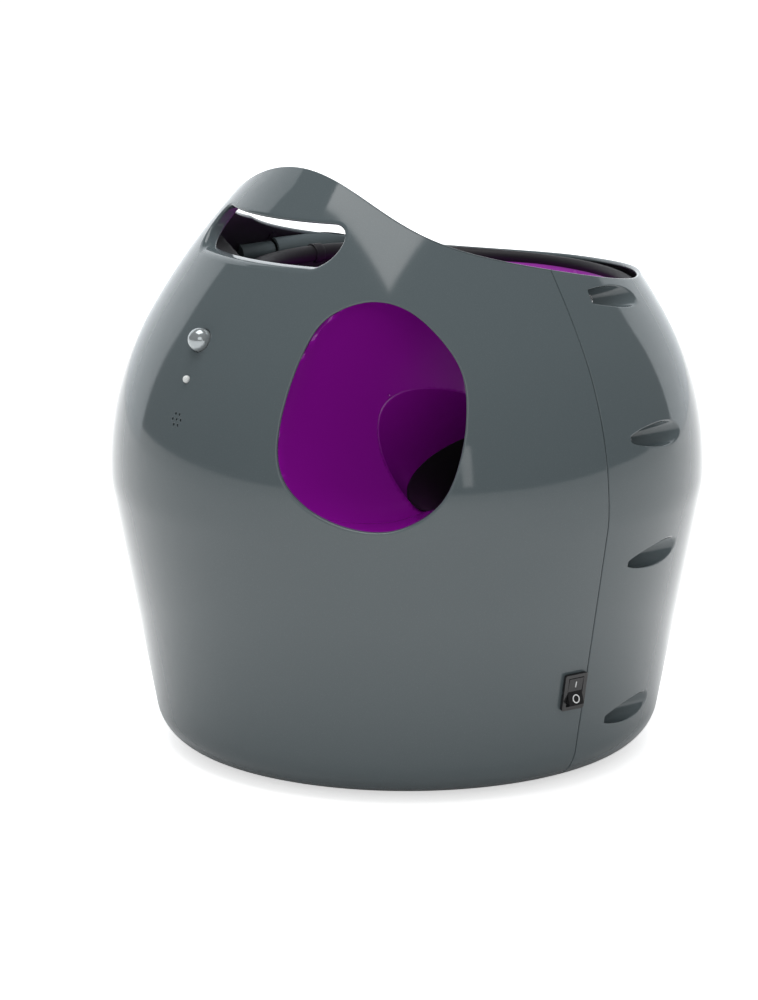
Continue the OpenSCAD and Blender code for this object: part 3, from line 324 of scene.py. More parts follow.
def skin(theta, s, off=0.0):
    # surface of revolution: theta from the front towards the right, s up the section
    r, z, _ = sectionAt(s, off)
    return np.stack([r * np.sin(theta), -r * np.cos(theta), z], -1)


sectionSteps = np.linspace(curve["knots"][1], curve["knots"][-1], 5000)


def skinRadius(z, off=0.0):
    r, h, _ = sectionAt(sectionSteps, off)
    return np.interp(z, h, r)


def heightToLength(z):
    return np.interp(z, sectionAt(sectionSteps)[1], sectionSteps)


def toSkin(points, direction, off, low, high):
    # slides points along a direction onto the casing
    def outside(w):
        p = points + w[:, None] * direction
        return np.hypot(p[:, 0], p[:, 1]) > skinRadius(p[:, 2], off)
    return points + halve(np.full(len(points), float(low)), high, outside)[:, None] * direction


def rimHeight(x, y):
    # falls towards the back, sweeps up into the hood, leaves the left flank a little steeper,
    # and sags at the right behind the parting line
    c = casing
    ahead = np.maximum(y + c["hoodY"], 6)
    left = np.clip(-x / 118, 0, 1)
    left = left * left * (3 - 2 * left)
    flank = left * (c["flankPull"] / np.maximum(ahead, c["flankLimit"]) - c["flankDrop"])
    turn = np.degrees(np.arctan2(x, -y)) - c["sagAt"]
    sag = c["sagDrop"] * np.exp(-(turn / np.where(turn < 0, c["sagAhead"], c["sagBehind"]))**2)
    return (c["rimHeight"] - c["rimDrop"] + c["rimTilt"] * x - c["rimFall"] * (ahead - c["hoodY"])
            + c["hoodPull"] / ahead + flank - sag)


def rimLength(theta):
    def above(s):
        r, z, _ = sectionAt(s)
        return z > rimHeight(r * np.sin(theta), -r * np.cos(theta))
    return halve(curve["knots"][4] + 0 * theta, curve["knots"][6], above)


def wallAt(azimuth, z):
    # wall frame on the casing's skin
    return wallFrame(azimuth, float(skinRadius(z)), z, float(np.degrees(sectionAt(heightToLength(z))[2])))


windowShape = dict(azimuth=43.5, height=214, width=98, tall=114.5, steps=18, outline=[
    (-0.08, 1.0), (-0.57, 0.84), (-0.84, 0.46), (-1.02, -0.1), (-1.0, -0.51), (-0.74, -0.79),
    (-0.29, -0.97), (0.2, -1.0), (0.63, -0.83), (0.87, -0.53), (0.98, -0.02), (0.88, 0.46), (0.41, 0.88)])


def windowOutline(grow):
    # closed Catmull-Rom curve through the outline's points
    p = np.array(windowShape["outline"])
    t = np.linspace(0, 1, windowShape["steps"], endpoint=False)[None, :, None]
    a, b, c, d = (np.roll(p, k, axis=0)[:, None, :] for k in (1, 0, -1, -2))
    q = 0.5 * (2 * b + (c - a) * t + (2 * a - 5 * b + 4 * c - d) * t**2 + (3 * b - a - 3 * c + d) * t**3)
    return q.reshape(-1, 2) * [windowShape["width"] / 2 + grow, windowShape["tall"] / 2 + grow]


handSlot = dict(width=110, height=21.5, corner=10.7, z=296.2, lip=8, round=2.6)
windowFrame = wallFrame(windowShape["azimuth"], 0, windowShape["height"], 0)
slotFrame = wallFrame(0, 0, handSlot["z"], 0)
slotOutline = roundRectOutline(handSlot["width"], handSlot["height"], handSlot["corner"])

controls = dict(lensRadius=6.5, lensZ=245, ledRadius=2.1, ledZ=225, holeRadius=0.8, holePitch=3.4,
                soundZ=204, inletZ=62, inletRadius=5.5)


def smallOpening(wall, radius, edge, count=48):
    return dict(frame=wall, outline=circleOutline(radius, count), round=edge, depth=3.0, span=(-12, 8),
                reach=12)


def soundOpening(x, y):
    origin, ax, ay, az = wallAt(0, controls["soundZ"])
    return smallOpening((origin + x * ax + y * ay, ax, ay, az), controls["holeRadius"], 0.25, 20)


# each opening: frame, outline, round of its edge, depth of the wall behind it, search span
lensHole, pitch = controls["lensRadius"] + 0.2, controls["holePitch"]
frontOpenings = [
    dict(frame=windowFrame, outline=windowOutline, round=1.3, depth=3.0, span=(100, 176), reach=-60),
    dict(frame=slotFrame, outline=slotOutline, round=handSlot["round"], lip=handSlot["lip"], span=(40, 140),
         reach=-40),
    smallOpening(wallAt(0, controls["lensZ"]), lensHole, 0.9),
    smallOpening(wallAt(0, controls["ledZ"]), controls["ledRadius"] + 0.1, 0.5, 32),
    soundOpening(0, 0)]
frontOpenings += [soundOpening(pitch * cos(radians(a)), pitch * sin(radians(a))) for a in range(0, 360, 60)]
rearOpenings = [smallOpening(wallAt(180, controls["lensZ"]), lensHole, 0.9),
                smallOpening(wallAt(180, controls["inletZ"]), controls["inletRadius"] + 0.2, 0.5)]


def openingBand(opening):
    # the rounded edge of an opening and the wall behind it: rows of the outline, carried inwards
    wall, outline, r = opening["frame"], opening["outline"], opening["round"]
    origin, ax, ay, az = wall

    def row(grow, off, sink=0.0):
        line = outline(grow)
        base = origin + line[:, :1] * ax + line[:, 1:] * ay
        return toSkin(base, az, off, *opening["span"]) - sink * az
    rows = [row(r + 0.4, 0.06)]
    rows += [row(r * (1 - sin(t)), r * (1 - cos(t))) for t in np.linspace(0, pi / 2, 7)]
    if "lip" in opening:
        deep, w = opening["lip"] - r, 1.5
        rows += [row(0, r, deep * k) for k in (0.35, 0.7, 1.0)]
        rows += [row(w * (1 - cos(t)), r, deep + w * sin(t)) for t in np.linspace(0, pi, 9)[1:]]
        rows += [row(2 * w, casing["wall"] - 0.1)]
    else:
        rows += [row(0, r + (opening["depth"] + 0.05 - r) * k) for k in (0.5, 1.0)]
    return np.stack(rows, 0)


def heldInside(points, off=3.0):
    # draws points in towards the casing's axis until they lie that far under the skin
    reach = skinRadius(points[..., 2], off)
    ratio = np.minimum(1, reach / np.maximum(np.hypot(points[..., 0], points[..., 1]), 1e-6))
    return points * np.stack([ratio, ratio, np.ones_like(ratio)], -1)


pocket = dict(seatY=20.0, radius=6.5, inset=8.1, round=0.7, heights=(36, 127, 193, 264.5), screwHead=4.2,
              screwHole=2.1, holeDepth=6, tube=8.0, back=0.4, clear=1.5, post=5.5, postHole=1.5, postGap=0.3,
              postLength=24)


def pocketAxis(z):
    return float(skinRadius(z)) - pocket["inset"]


def pocketField(z, grow):
    c, x0 = pocket, pocketAxis(z)

    def field(points):
        gap = np.hypot(np.abs(points[..., 0]) - x0, points[..., 2] - z) - (c["radius"] + grow)
        return np.maximum(gap, c["seatY"] - points[..., 1])
    return field


def pocketParts(side, z):
    # the screw pocket's rounded mouth, its round wall down to the seat, the seat and its hole
    c, x0, turn = pocket, pocketAxis(z), fullTurn(72)
    seatY = c["seatY"]
    place = lambda size: (x0 + size * np.cos(turn), z + size * np.sin(turn))

    def ring(radius, off=0.0, y=None, mixTo=0.0):
        # circle about the pocket's axis, drawn in where the skin falls below the seat
        def outside(size):
            x, h = place(size)
            return np.hypot(x, seatY) > skinRadius(h, off)
        x, h = place(np.where(outside(radius), halve(0 * turn, radius, outside), radius))
        if y is None:
            edge = np.sqrt(np.maximum(skinRadius(h, off)**2 - x**2, seatY**2))
            y = edge + (seatY - edge) * mixTo
        return np.stack([side * x, y + 0 * x, h], -1)
    r, bore = c["round"], c["radius"]
    mouth = [ring(bore + r + 0.4, 0.06)]
    mouth += [ring(bore + r * (1 - sin(t)), r * (1 - cos(t))) for t in np.linspace(0, pi / 2, 6)]
    mouth += [ring(bore, r, mixTo=k) for k in (0.25, 0.5, 0.75, 1.0)]
    seat = [ring(radius, y=seatY) for radius in (bore, c["screwHead"], c["screwHole"])]
    seat += [ring(c["screwHole"], y=seatY - c["holeDepth"])]
    tube = [heldInside(q) for q in (ring(c["tube"], y=c["back"]), ring(c["tube"], casing["wall"] - 0.1))]
    inner = [ring(bore, y=c["back"]), tube[0]]
    line = np.array([side * x0, 0, z]), np.array([0, 1.0, 0])
    return [(np.stack(mouth), fromAxis(*line, -1)), (np.stack(seat), facing(0, 1, 0)),
            (np.stack(tube), fromAxis(*line)), (np.stack(inner), facing(0, -1, 0))]


def screwBoss(side, z):
    # closed post behind the parting line, and its middle
    c, x0, turn = pocket, pocketAxis(z), fullTurn(40)
    gap, end = -c["postGap"], -c["postLength"]
    rings = [heldInside(np.stack([side * x0 + r * np.cos(turn), 0 * turn + y, z + r * np.sin(turn)], -1))
             for r, y in ((c["postHole"], gap), (c["post"], gap), (c["post"], end), (0.01, end))]
    return [(np.stack(rings), (side * x0, end / 2, z))]


def shellGrid(front, step, off, fields, closer=((), ())):
    # one half of the casing on lines of bearing and of share of the way up to the rim
    c = casing
    edge = c["seam"] / 2 + (c["seamRound"] if off == 0 else 0)
    middle = 0.0 if front else pi
    total = float(rimLength(np.array(0.0)))
    uLine = denseLine(-90, 90, step / c["bellyRadius"] * 180 / pi, closer[0])
    vLine = denseLine(0, 1, step / total, [(a / total, b / total, f / total) for a, b, f in closer[1]])

    def surface(u, v):
        theta = middle + np.radians(u)
        s = v * (rimLength(theta) - c["rimRound"])
        r = sectionAt(s, off)[0]
        limit = np.arccos(edge / r) / (pi / 2)
        return skin(middle + np.radians(u) * limit, s, off)
    return cutGrid(surface, uLine, vLine, fields)


def rimBand(low, high, count=260):
    # half-round edge over the wall's thickness, along the rim
    theta = np.linspace(radians(low), radians(high), count)
    s = rimLength(theta) - casing["rimRound"]
    a = sectionAt(s)[2]
    normal = np.stack([np.cos(a) * np.sin(theta), -np.cos(a) * np.cos(theta), np.sin(a)], -1)
    upward = np.stack([-np.sin(a) * np.sin(theta), np.sin(a) * np.cos(theta), np.cos(a)], -1)
    start = skin(theta, s)
    w = casing["wall"]
    rows = [start - w / 2 * (1 - cos(t)) * normal + casing["rimRound"] * sin(t) * upward
            for t in np.linspace(0, pi, 11)]
    return np.stack(rows)


def seamBand(front, side, count=200):
    # rounded edge and flat face of one half at the parting line
    c = casing
    way = -1 if front else 1
    s = np.linspace(0, 1, count) * (float(rimLength(np.array(pi / 2 * side))) - c["rimRound"] * 0.5)
    rows = []
    r = c["seamRound"]
    edge = [(r * (1 - sin(t)), r * (1 - cos(t))) for t in np.linspace(0, pi / 2, 6)]
    for back, off in edge + [(0, c["wall"])]:
        y = way * (c["seam"] / 2 + back)
        radius, z, _ = sectionAt(s, off)
        rows.append(np.stack([side * np.sqrt(radius**2 - y**2), 0 * s + y, z], -1))
    return np.stack(rows)


def lapTongue(side, count=160):
    # thin strip behind the parting line, so that no light shows through it
    c = casing
    s = np.linspace(0.004, 0.985, count) * float(rimLength(np.array(pi / 2 * side)))
    rows = []
    for y, off in ((-2.2, 0.1), (2.2, 0.1), (2.2, 0.8), (-2.2, 0.8)):
        radius, z, _ = sectionAt(s, c["wall"] + off)
        rows.append(np.stack([side * np.sqrt(radius**2 - y**2), 0 * s + y, z], -1))
    return np.stack(rows)


def makeShell(front, name, node, openings):
    c = casing
    outerFields = [outlineField(o["frame"], o["outline"], o["round"], o["reach"]) for o in openings]
    # the holes of the sounder stop short of the lining
    innerFields = [outlineField(o["frame"], o["outline"], 2.9 if "lip" in o else 0.0, o["reach"])
                   for o in openings[:4]]
    closer = ((), ())
    if front:
        sound, light, lens = (float(heightToLength(controls[k])) for k in ("soundZ", "ledZ", "lensZ"))
        closer = (((-1.9, 1.9, 0.17),), ((sound - 5.5, sound + 5.5, 0.45), (light - 3, light + 3, 0.5),
                                        (lens - 8, lens + 8, 1.0)))
    else:
        outerFields += [pocketField(z, pocket["round"]) for z in pocket["heights"]]
        innerFields += [pocketField(z, pocket["clear"]) for z in pocket["heights"]]
    outwards = lambda p: p - np.array([0, 0, 150.0])
    shell = Patches().add(*shellGrid(front, c["step"], 0.0, outerFields, closer), toward=outwards)
    lining = Patches().add(*shellGrid(front, c["innerStep"], c["wall"], innerFields),
                           toward=lambda p: -outwards(p))
    shell.grid(rimBand(*((-90, 90) if front else (90, 270))), toward=facing(0, 0, 1))
    turn = np.linspace(-pi / 2, pi / 2, 120) + (0 if front else pi)
    foot = np.stack([skin(turn, 0 * turn, off) for off in (0.0, c["wall"])])
    shell.grid(foot, toward=lambda p: -p * [1, 1, 0])
    for o in openings:
        shell.grid(openingBand(o), wrapV=True, toward=fromAxis(o["frame"][0], o["frame"][3], -1))
    for side in (1, -1):
        shell.grid(seamBand(front, side), toward=facing(0, 1 if front else -1, 0))
        for z in pocket["heights"]:
            for rows, toward in (screwBoss if front else pocketParts)(side, z):
                shell.grid(rows, wrapV=True, toward=toward)
        if front:
            lining.grid(lapTongue(side), wrapU=True, toward=lambda p: p * [1, 1, 0] - [side * 125.0, 0, 0])
    # the inner skin carries the painted-shade near-black purple
    addPiece(name + "Lining", lining, liningPaintedShade, node, "casing", sharp=40)
    return addPiece(name, shell, gunmetal, node, "casing", sharp=40)


# ---------- finishes ----------

def setInputs(node, **values):
    # an underscore stands for a space in a socket's name
    for label, value in values.items():
        node.inputs[label.replace("_", " ")].default_value = value


def joinUp(tree, *links):
    # each link: node, its output, node, its input
    for source, out, target, into in links:
        tree.links.new(source.outputs[out], target.inputs[into])


def addNodes(tree, *kinds):
    return [tree.nodes.new("ShaderNode" + kind) for kind in kinds]


def groupOf(name, inputs, outputs):
    # sockets are given as kind and label; every user of the group sets all inputs
    group = bpy.data.node_groups.new(name, "ShaderNodeTree")
    for way, sockets in (("INPUT", inputs), ("OUTPUT", outputs)):
        for kind, label in sockets:
            group.interface.new_socket(name=label, in_out=way, socket_type="NodeSocket" + kind)
    return group, group.nodes.new("NodeGroupInput"), group.nodes.new("NodeGroupOutput")


def makeMouldedSkin():
    # fine grain as a bump, and slow noise that shifts the roughness between two values
    labels = ("Grain Scale", "Grain Height", "Patch Scale", "Rough Low", "Rough High")
    group, start, end = groupOf("mouldedSkin", [("Float", label) for label in labels],
                                [("Float", "Roughness"), ("Vector", "Normal")])
    place, grain, patch, bump, spread = addNodes(
        group, "TexCoord", "TexNoise", "TexNoise", "Bump", "MapRange")
    setInputs(grain, Detail=3)
    setInputs(patch, Detail=4)
    setInputs(bump, Distance=0.0002)
    setInputs(spread, From_Min=0.3, From_Max=0.7)
    joinUp(group, (place, "Object", grain, "Vector"), (place, "Object", patch, "Vector"),
           (start, "Grain Scale", grain, "Scale"), (start, "Patch Scale", patch, "Scale"),
           (start, "Grain Height", bump, "Strength"), (grain, "Fac", bump, "Height"),
           (patch, "Fac", spread, "Value"), (start, "Rough Low", spread, "To Min"),
           (start, "Rough High", spread, "To Max"), (spread, "Result", end, "Roughness"),
           (bump, "Normal", end, "Normal"))
    return group


def makeColourDrift():
    # two close colours mixed by slow noise, with sparse fine flecks of a third
    group, start, end = groupOf("colourDrift", [
        ("Color", "Base"), ("Color", "Drift"), ("Color", "Fleck"), ("Float", "Scale"),
        ("Float", "Fleck Amount")], [("Color", "Color")])
    place, slow, quick, drift, fleck, sparse, amount = addNodes(
        group, "TexCoord", "TexNoise", "TexNoise", "Mix", "Mix", "MapRange", "Math")
    drift.data_type = fleck.data_type = "RGBA"
    amount.operation = "MULTIPLY"
    setInputs(slow, Detail=2)
    setInputs(quick, Scale=2600, Detail=1)
    setInputs(sparse, From_Min=0.6, From_Max=0.72)
    joinUp(group, (place, "Object", slow, "Vector"), (place, "Object", quick, "Vector"),
           (start, "Scale", slow, "Scale"), (slow, "Fac", drift, "Factor"), (start, "Base", drift, "A"),
           (start, "Drift", drift, "B"), (quick, "Fac", sparse, "Value"), (sparse, "Result", amount, 0),
           (start, "Fleck Amount", amount, 1), (amount, "Value", fleck, "Factor"),
           (drift, "Result", fleck, "A"), (start, "Fleck", fleck, "B"), (fleck, "Result", end, "Color"))
    return group


mouldedSkin, colourDrift = makeMouldedSkin(), makeColourDrift()


def finish(name, base, drift=None, fleck=None, flecks=0.0, rough=(0.2, 0.3), grain=900.0, height=0.1,
           patch=14.0, **sockets):
    material = bpy.data.materials.new(name)
    material.use_nodes = True
    tree = material.node_tree
    shader = tree.nodes["Principled BSDF"]
    skinNode, driftNode = addNodes(tree, "Group", "Group")
    skinNode.node_tree, driftNode.node_tree = mouldedSkin, colourDrift
    setInputs(skinNode, Grain_Scale=grain, Grain_Height=height, Patch_Scale=patch, Rough_Low=rough[0],
              Rough_High=rough[1])
    drift = drift or tuple(0.9 * c for c in base)
    setInputs(driftNode, Base=(*base, 1), Drift=(*drift, 1), Fleck=(*(fleck or base), 1), Scale=6.0,
              Fleck_Amount=flecks)
    joinUp(tree, (driftNode, "Color", shader, "Base Color"), (skinNode, "Roughness", shader, "Roughness"),
           (skinNode, "Normal", shader, "Normal"))
    setInputs(shader, **sockets)
    material.diffuse_color = (*base, 1)
    return material


gunmetal = finish("gunmetalGloss", (0.079, 0.098, 0.105), (0.071, 0.089, 0.096), (0.15, 0.16, 0.17), 0.25,
                  rough=(0.06, 0.1), grain=1500, height=0.015, patch=9, IOR=1.45)
# near-black purple of the casing's inner skin is painted shade, darker and more purple than the casing
# itself
liningPaintedShade = finish("liningPaintedShade", (0.022, 0.016, 0.026), (0.018, 0.013, 0.022), rough=(0.35, 0.5), grain=800,
                    height=0.2)
purple = finish("linerPurple", (0.24, 0.005, 0.28), (0.205, 0.004, 0.25), rough=(0.16, 0.24), grain=1100,
                height=0.04)
violet = finish("hopperPurple", (0.42, 0.045, 0.47), (0.37, 0.035, 0.42), grain=1000, height=0.06)
blackGloss = finish("collarBlack", (0.009, 0.008, 0.011), (0.012, 0.011, 0.014), rough=(0.5, 0.62), IOR=1.35)
blackMatt = finish("barrelBlack", (0.01, 0.009, 0.011), (0.014, 0.013, 0.015), rough=(0.45, 0.6), grain=700,
                   height=0.2)
greyMatt = finish("basePlastic", (0.03, 0.031, 0.033), (0.024, 0.025, 0.027), rough=(0.5, 0.66), grain=600,
                  height=0.5)
footRubber = finish("footRubber", (0.016, 0.016, 0.016), (0.022, 0.022, 0.022), rough=(0.7, 0.9), grain=500,
                    height=0.7)
steel = finish("brightSteel", (0.5, 0.51, 0.52), (0.42, 0.43, 0.44), rough=(0.22, 0.4), grain=1600,
               Metallic=1.0)
brassMetal = finish("turnedBrass", (0.6, 0.43, 0.18), rough=(0.25, 0.4), Metallic=1.0)
naturalPlastic = finish("naturalPlastic", (0.72, 0.7, 0.62), (0.66, 0.64, 0.57), rough=(0.35, 0.5),
                        height=0.15)
cellWrap = finish("cellWrap", (0.4, 0.3, 0.06), (0.34, 0.26, 0.05), rough=(0.25, 0.35))
boardGreen = finish("boardGreen", (0.01, 0.07, 0.03), (0.012, 0.055, 0.026), (0.3, 0.28, 0.2), 0.5,
                    rough=(0.3, 0.45))
switchBlack = finish("switchBlack", (0.008, 0.008, 0.009), (0.012, 0.012, 0.013), rough=(0.16, 0.28),
                     grain=1200, height=0.05)
markWhite = finish("markWhite", (0.75, 0.76, 0.76), rough=(0.4, 0.5), height=0.05)
lightWhite = finish("lightWhite", (0.62, 0.64, 0.63), rough=(0.15, 0.25), height=0.03)
lensPlastic = finish("lensPlastic", (0.36, 0.39, 0.4), (0.31, 0.34, 0.35), rough=(0.08, 0.14), height=0.02,
                     Metallic=0.55, IOR=1.58)

finishBySlot = dict(casing=gunmetal, liner=purple, dark=blackMatt, base=greyMatt, rubber=footRubber,
                    steel=steel, brass=brassMetal, cell=cellWrap, natural=naturalPlastic, board=boardGreen,
                    lens=lensPlastic, switch=switchBlack)
for part in frame["record"]["subparts"]:
    mesh = nodes[part["node"]].data
    mesh.materials.clear()
    mesh.materials.append(finishBySlot[part["material_slot"]])
print("finishes made for", len(nodes), "nodes")

makeShell(True, "frontShellSmooth", "front_shell", frontOpenings)
print("front shell done")
makeShell(False, "rearShellSmooth", "rear_shell", rearOpenings)
print("rear shell done")


# ---------- window liner ----------

launcher = dict(mouth=(95, -72, 206.5), aim=6, climb=38.5, bore=35.5, wall=3, guide=50, purpleEnd=70,
                sleeveAt=54.5, sleeveLean=0.5, sleeveEnd=78, sleeveWall=0.55, chuteT=112,
                chuteTurn=30, chuteRadius=36.5, chuteLength=85)
liner = dict(dish=(164, -97, 212), radius=109, margin=5, wall=2.5, round=13, ceiling=(84, 253.2, 0.662),
             soft=5, lip=16, gap=0.3, overlap=0.12, undercut=0.15)

aimA, climbA = radians(launcher["aim"]), radians(launcher["climb"])
mouth = np.array(launcher["mouth"], float)
rightAxis = np.array([cos(aimA), sin(aimA), 0])
lineAxis = np.array([sin(aimA) * cos(climbA), -cos(aimA) * cos(climbA), sin(climbA)])
upAxis = np.cross(lineAxis, rightAxis)
linerLine = windowOutline(liner["margin"])
linerReach = reachAround(linerLine)


def acrossLine(turn):
    # unit directions about the launcher's axis
    return np.cos(turn)[:, None] * rightAxis + np.sin(turn)[:, None] * upAxis


def linerGap(x, y):
    # distance inside the liner's outline
    return linerReach(np.arctan2(y, x)) - np.hypot(x, y)


def dishDepth(x, y):
    # depth of the dish along the window's direction: the back of a sphere, met softly by the
    # sloping ceiling, and rounded up into the side wall
    origin, ax, ay, az = windowFrame
    c = np.array(liner["dish"], float) - origin
    cx, cy, cz = c @ ax, c @ ay, c @ az
    sphere = cz - np.sqrt(np.maximum(liner["radius"]**2 - (x - cx)**2 - (y - cy)**2, 1.0))
    r0, z0, rise = liner["ceiling"]
    z = y + windowShape["height"]
    radius = np.where(z > z0, r0 + (z - z0) / rise, 0)
    ceiling = np.sqrt(np.maximum(radius**2 - x**2, 0))
    k = liner["soft"]
    h = np.clip(0.5 + 0.5 * (ceiling - sphere) / k, 0, 1)
    depth = sphere * (1 - h) + ceiling * h + k * h * (1 - h)
    r = liner["round"]
    gap = np.clip(linerGap(x, y), 0, r)
    reach = np.sqrt(np.maximum(skinRadius(z, casing["wall"] + liner["gap"])**2 - x * x, 1.0))
    return np.minimum(depth + r - np.sqrt(np.maximum(r * r - (r - gap)**2, 0)), reach)


def linerPoint(x, y, w):
    origin, ax, ay, az = windowFrame
    return origin + x[..., None] * ax + y[..., None] * ay + w[..., None] * az


def boreField(points):
    local = points - mouth
    t = local @ lineAxis
    gap = np.linalg.norm(local - t[..., None] * lineAxis, axis=-1) - launcher["bore"]
    return np.where((t > -70) & (t < 2), gap, np.maximum(gap, t - 2))


def makeLiner():
    # dish, side wall and lip inside the window's outline, and the bore that opens into them
    origin, ax, ay, az = windowFrame
    c, round, within, count = launcher, liner["round"], 0.9999, 160
    shape = Patches()

    def dish(bearing, way):
        # way 0 to 1 goes round the quarter circle at the edge, 1 to 2 over the floor to the middle
        size = linerReach(bearing)
        floor = (size - round) * np.clip(2 - way, 0, 1)
        reach = np.where(way < 1, size - round * (1 - np.cos(np.clip(way, 0, 1) * pi / 2)), floor)
        x, y = reach * np.cos(bearing), reach * np.sin(bearing)
        return linerPoint(x, y, dishDepth(x * within, y * within))
    ways = np.concatenate([np.linspace(0, 1, 14)[:-1], np.linspace(1, 1.999, 44)])
    shape.add(*cutGrid(dish, np.linspace(-pi, pi, 241), ways, [boreField]), toward=facing(*az))

    def onWall(line, low):
        points = origin + line[:, :1] * ax + line[:, 1:] * ay
        return toSkin(points, az, casing["wall"] + liner["gap"], low, 176)
    foot = linerPoint(linerLine[:, 0], linerLine[:, 1], dishDepth(*linerLine.T * within))
    head, lip = onWall(linerLine, 100), onWall(windowOutline(liner["lip"]), 90)
    turn = np.arange(len(foot) + 1, dtype=float)

    def side(u, v):
        low, high = (np.stack([np.interp(u, turn, np.append(a[:, k], a[0, k])) for k in range(3)], -1)
                     for a in (foot, head))
        return low * (1 - v[..., None]) + high * v[..., None]
    shape.add(*cutGrid(side, turn, np.linspace(0, 1, 30), [boreField]), toward=fromAxis(origin, az, -1))
    shape.grid(np.stack([head, lip]), wrapV=True, toward=facing(*az))
    # bore: from the black barrel up to where it meets the dish or the side wall
    around = acrossLine(fullTurn(count))

    def cavity(t):
        local = mouth + t[:, None] * lineAxis + c["bore"] * around - origin
        x, y, w = local @ ax, local @ ay, local @ az
        return np.minimum(w - dishDepth(x, y), linerGap(x, y)) > 0
    end = halve(np.full(count, -c["guide"] * 1.0), 2.0, cavity) + liner["overlap"]
    rows = []
    for k in np.linspace(0, 1, 34):
        t = -c["purpleEnd"] * (1 - k) + end * k
        r = c["bore"] - liner["undercut"] * np.clip((4 - c["guide"] - t) / 3, 0, 1)
        rows.append(mouth + t[:, None] * lineAxis + r[:, None] * around)
    shape.grid(np.stack(rows), wrapV=True, toward=fromAxis(mouth, lineAxis, -1))
    return addPiece("windowLinerSmooth", shape, purple, "window_liner", "liner", weld=True, sharp=50,
                    modifiers=[("SOLIDIFY", dict(thickness=liner["wall"] * mm, offset=-1.0))])


def makeBoreSleeve():
    # black tube inside the bore, its front edge cut on the slant
    c, count = launcher, 120
    turn = fullTurn(count)
    back, front = -c["sleeveEnd"], -c["sleeveAt"] - c["sleeveLean"] * c["bore"] * np.sin(turn)
    inner, outer = c["bore"] - c["sleeveWall"], c["bore"] - 0.2
    rows = [mouth + (t + 0 * turn)[:, None] * lineAxis + r * acrossLine(turn)
            for t, r in ((back, inner), (front, inner), (front, outer), (back, outer))]
    shape = Patches().grid(np.stack(rows), wrapU=True, wrapV=True, toward=fromAxis(mouth, lineAxis, -1),
                           judged=count)
    return addPiece("boreSleeve", shape, blackMatt, "launch_barrel", "dark", sharp=40)


makeLiner()
makeBoreSleeve()
print("liner done")


# ---------- hopper ----------

hopper = dict(x=-8, y=20, rollRadius=99, roll=5, rollBack=3.4, rollZ=262.5, rollDrop=4.3, dropFrom=0.04,
              dropTo=0.9, backRadius=129.5, spreadFrom=-0.5, spreadTo=0.45, leftFrom=-0.95, leftTo=-0.05,
              tuck=1.1, tuckLess=0.35, sleeve=0.035, sleeveProud=0.9, deckZ=254, deckThick=2.5, wall=2.5,
              coneRadius=84, coneRise=0.662, frontY=45, frontBowlZ=254)
chuteTurnA = radians(launcher["chuteTurn"])
chuteAxis = -sin(chuteTurnA) * rightAxis + cos(chuteTurnA) * upAxis
chuteFoot = mouth - launcher["chuteT"] * lineAxis
chuteTop = chuteFoot + (launcher["chuteLength"] + 0.4) * chuteAxis
flatX = np.array([1, 0, 0]) - chuteAxis[0] * chuteAxis
ringX = flatX / np.linalg.norm(flatX)
ringY = np.cross(chuteAxis, ringX)


def easeBetween(value, low, high):
    k = np.clip((value - low) / (high - low), 0, 1)
    return k * k * (3 - 2 * k)


def shareBehind(a):
    # 0 where the hopper is round, 1 where it follows the casing behind and at the right
    h = hopper
    right = easeBetween(np.cos(a), h["leftFrom"], h["leftTo"])
    return easeBetween(np.sin(a), h["spreadFrom"], h["spreadTo"]) * right


def rollPath(a):
    # round in front; behind it widens until it follows the casing, and thins and sinks a little
    h = hopper
    back = shareBehind(a)
    tube = h["roll"] + (h["rollBack"] - h["roll"]) * back
    along = h["x"] * np.cos(a) + h["y"] * np.sin(a)
    limit = h["backRadius"] - tube
    toCasing = np.sqrt(limit**2 - h["x"]**2 - h["y"]**2 + along**2) - along
    return (h["rollRadius"] * (1 - back) + toCasing * back, tube,
            h["rollZ"] - h["rollDrop"] * easeBetween(np.sin(a), h["dropFrom"], h["dropTo"]))


def bowlEdge(a):
    # radius of the bowl's edge under the roll
    rollR, tube, _ = rollPath(a)
    return rollR - tube * (hopper["tuck"] - hopper["tuckLess"] * shareBehind(a))


def makeBowl():
    # loft from under the rolled edge to the tilted drop ring; the height eases out, so the floor flattens
    h, around, down = hopper, 200, 60
    a, s = fullTurn(around), np.linspace(0, 1, down)
    _, tube, rollZ = rollPath(a)
    back = shareBehind(a)
    edgeZ = (rollZ - 0.62 * tube) * back + h["frontBowlZ"] * (1 - back)

    def rings(out):
        fall = 1 - (1 - s)**2
        centre = np.stack([h["x"] + (chuteTop[0] - h["x"]) * s, h["y"] + (chuteTop[1] - h["y"]) * s,
                           chuteTop[2] * fall], -1)
        radius = bowlEdge(a) * (1 - s)[:, None] + launcher["chuteRadius"] * s[:, None] + out
        ex, ey = ((1 - s)[:, None] * flat + s[:, None] * tilted
                  for flat, tilted in ((np.array([1, 0, 0]), ringX), (np.array([0, 1, 0]), ringY)))
        ex, ey = (e / np.linalg.norm(e, axis=1)[:, None] for e in (ex, ey))
        p = (centre[:, None] + radius[..., None] * (np.cos(a)[None, :, None] * ex[:, None]
             + np.sin(a)[None, :, None] * ey[:, None]))
        p[..., 2] += (1 - fall)[:, None] * edgeZ - (0.6 * out * np.sin(pi * s))[:, None]
        return p
    inner, outer = rings(0.0), rings(h["wall"])
    lip = [inner[0] * (1 - k) + outer[0] * k + [0, 0, 1.2 * sin(pi * k)] for k in np.linspace(0, 1, 9)[1:-1]]
    shape = Patches().grid(np.concatenate([inner[::-1], np.stack(lip), outer]), wrapU=True, wrapV=True,
                           toward=facing(0, 0, 1), judged=(down - 1) * around)
    return addPiece("hopperBowlSmooth", shape, violet, "hopper_bowl", "liner", sharp=50)


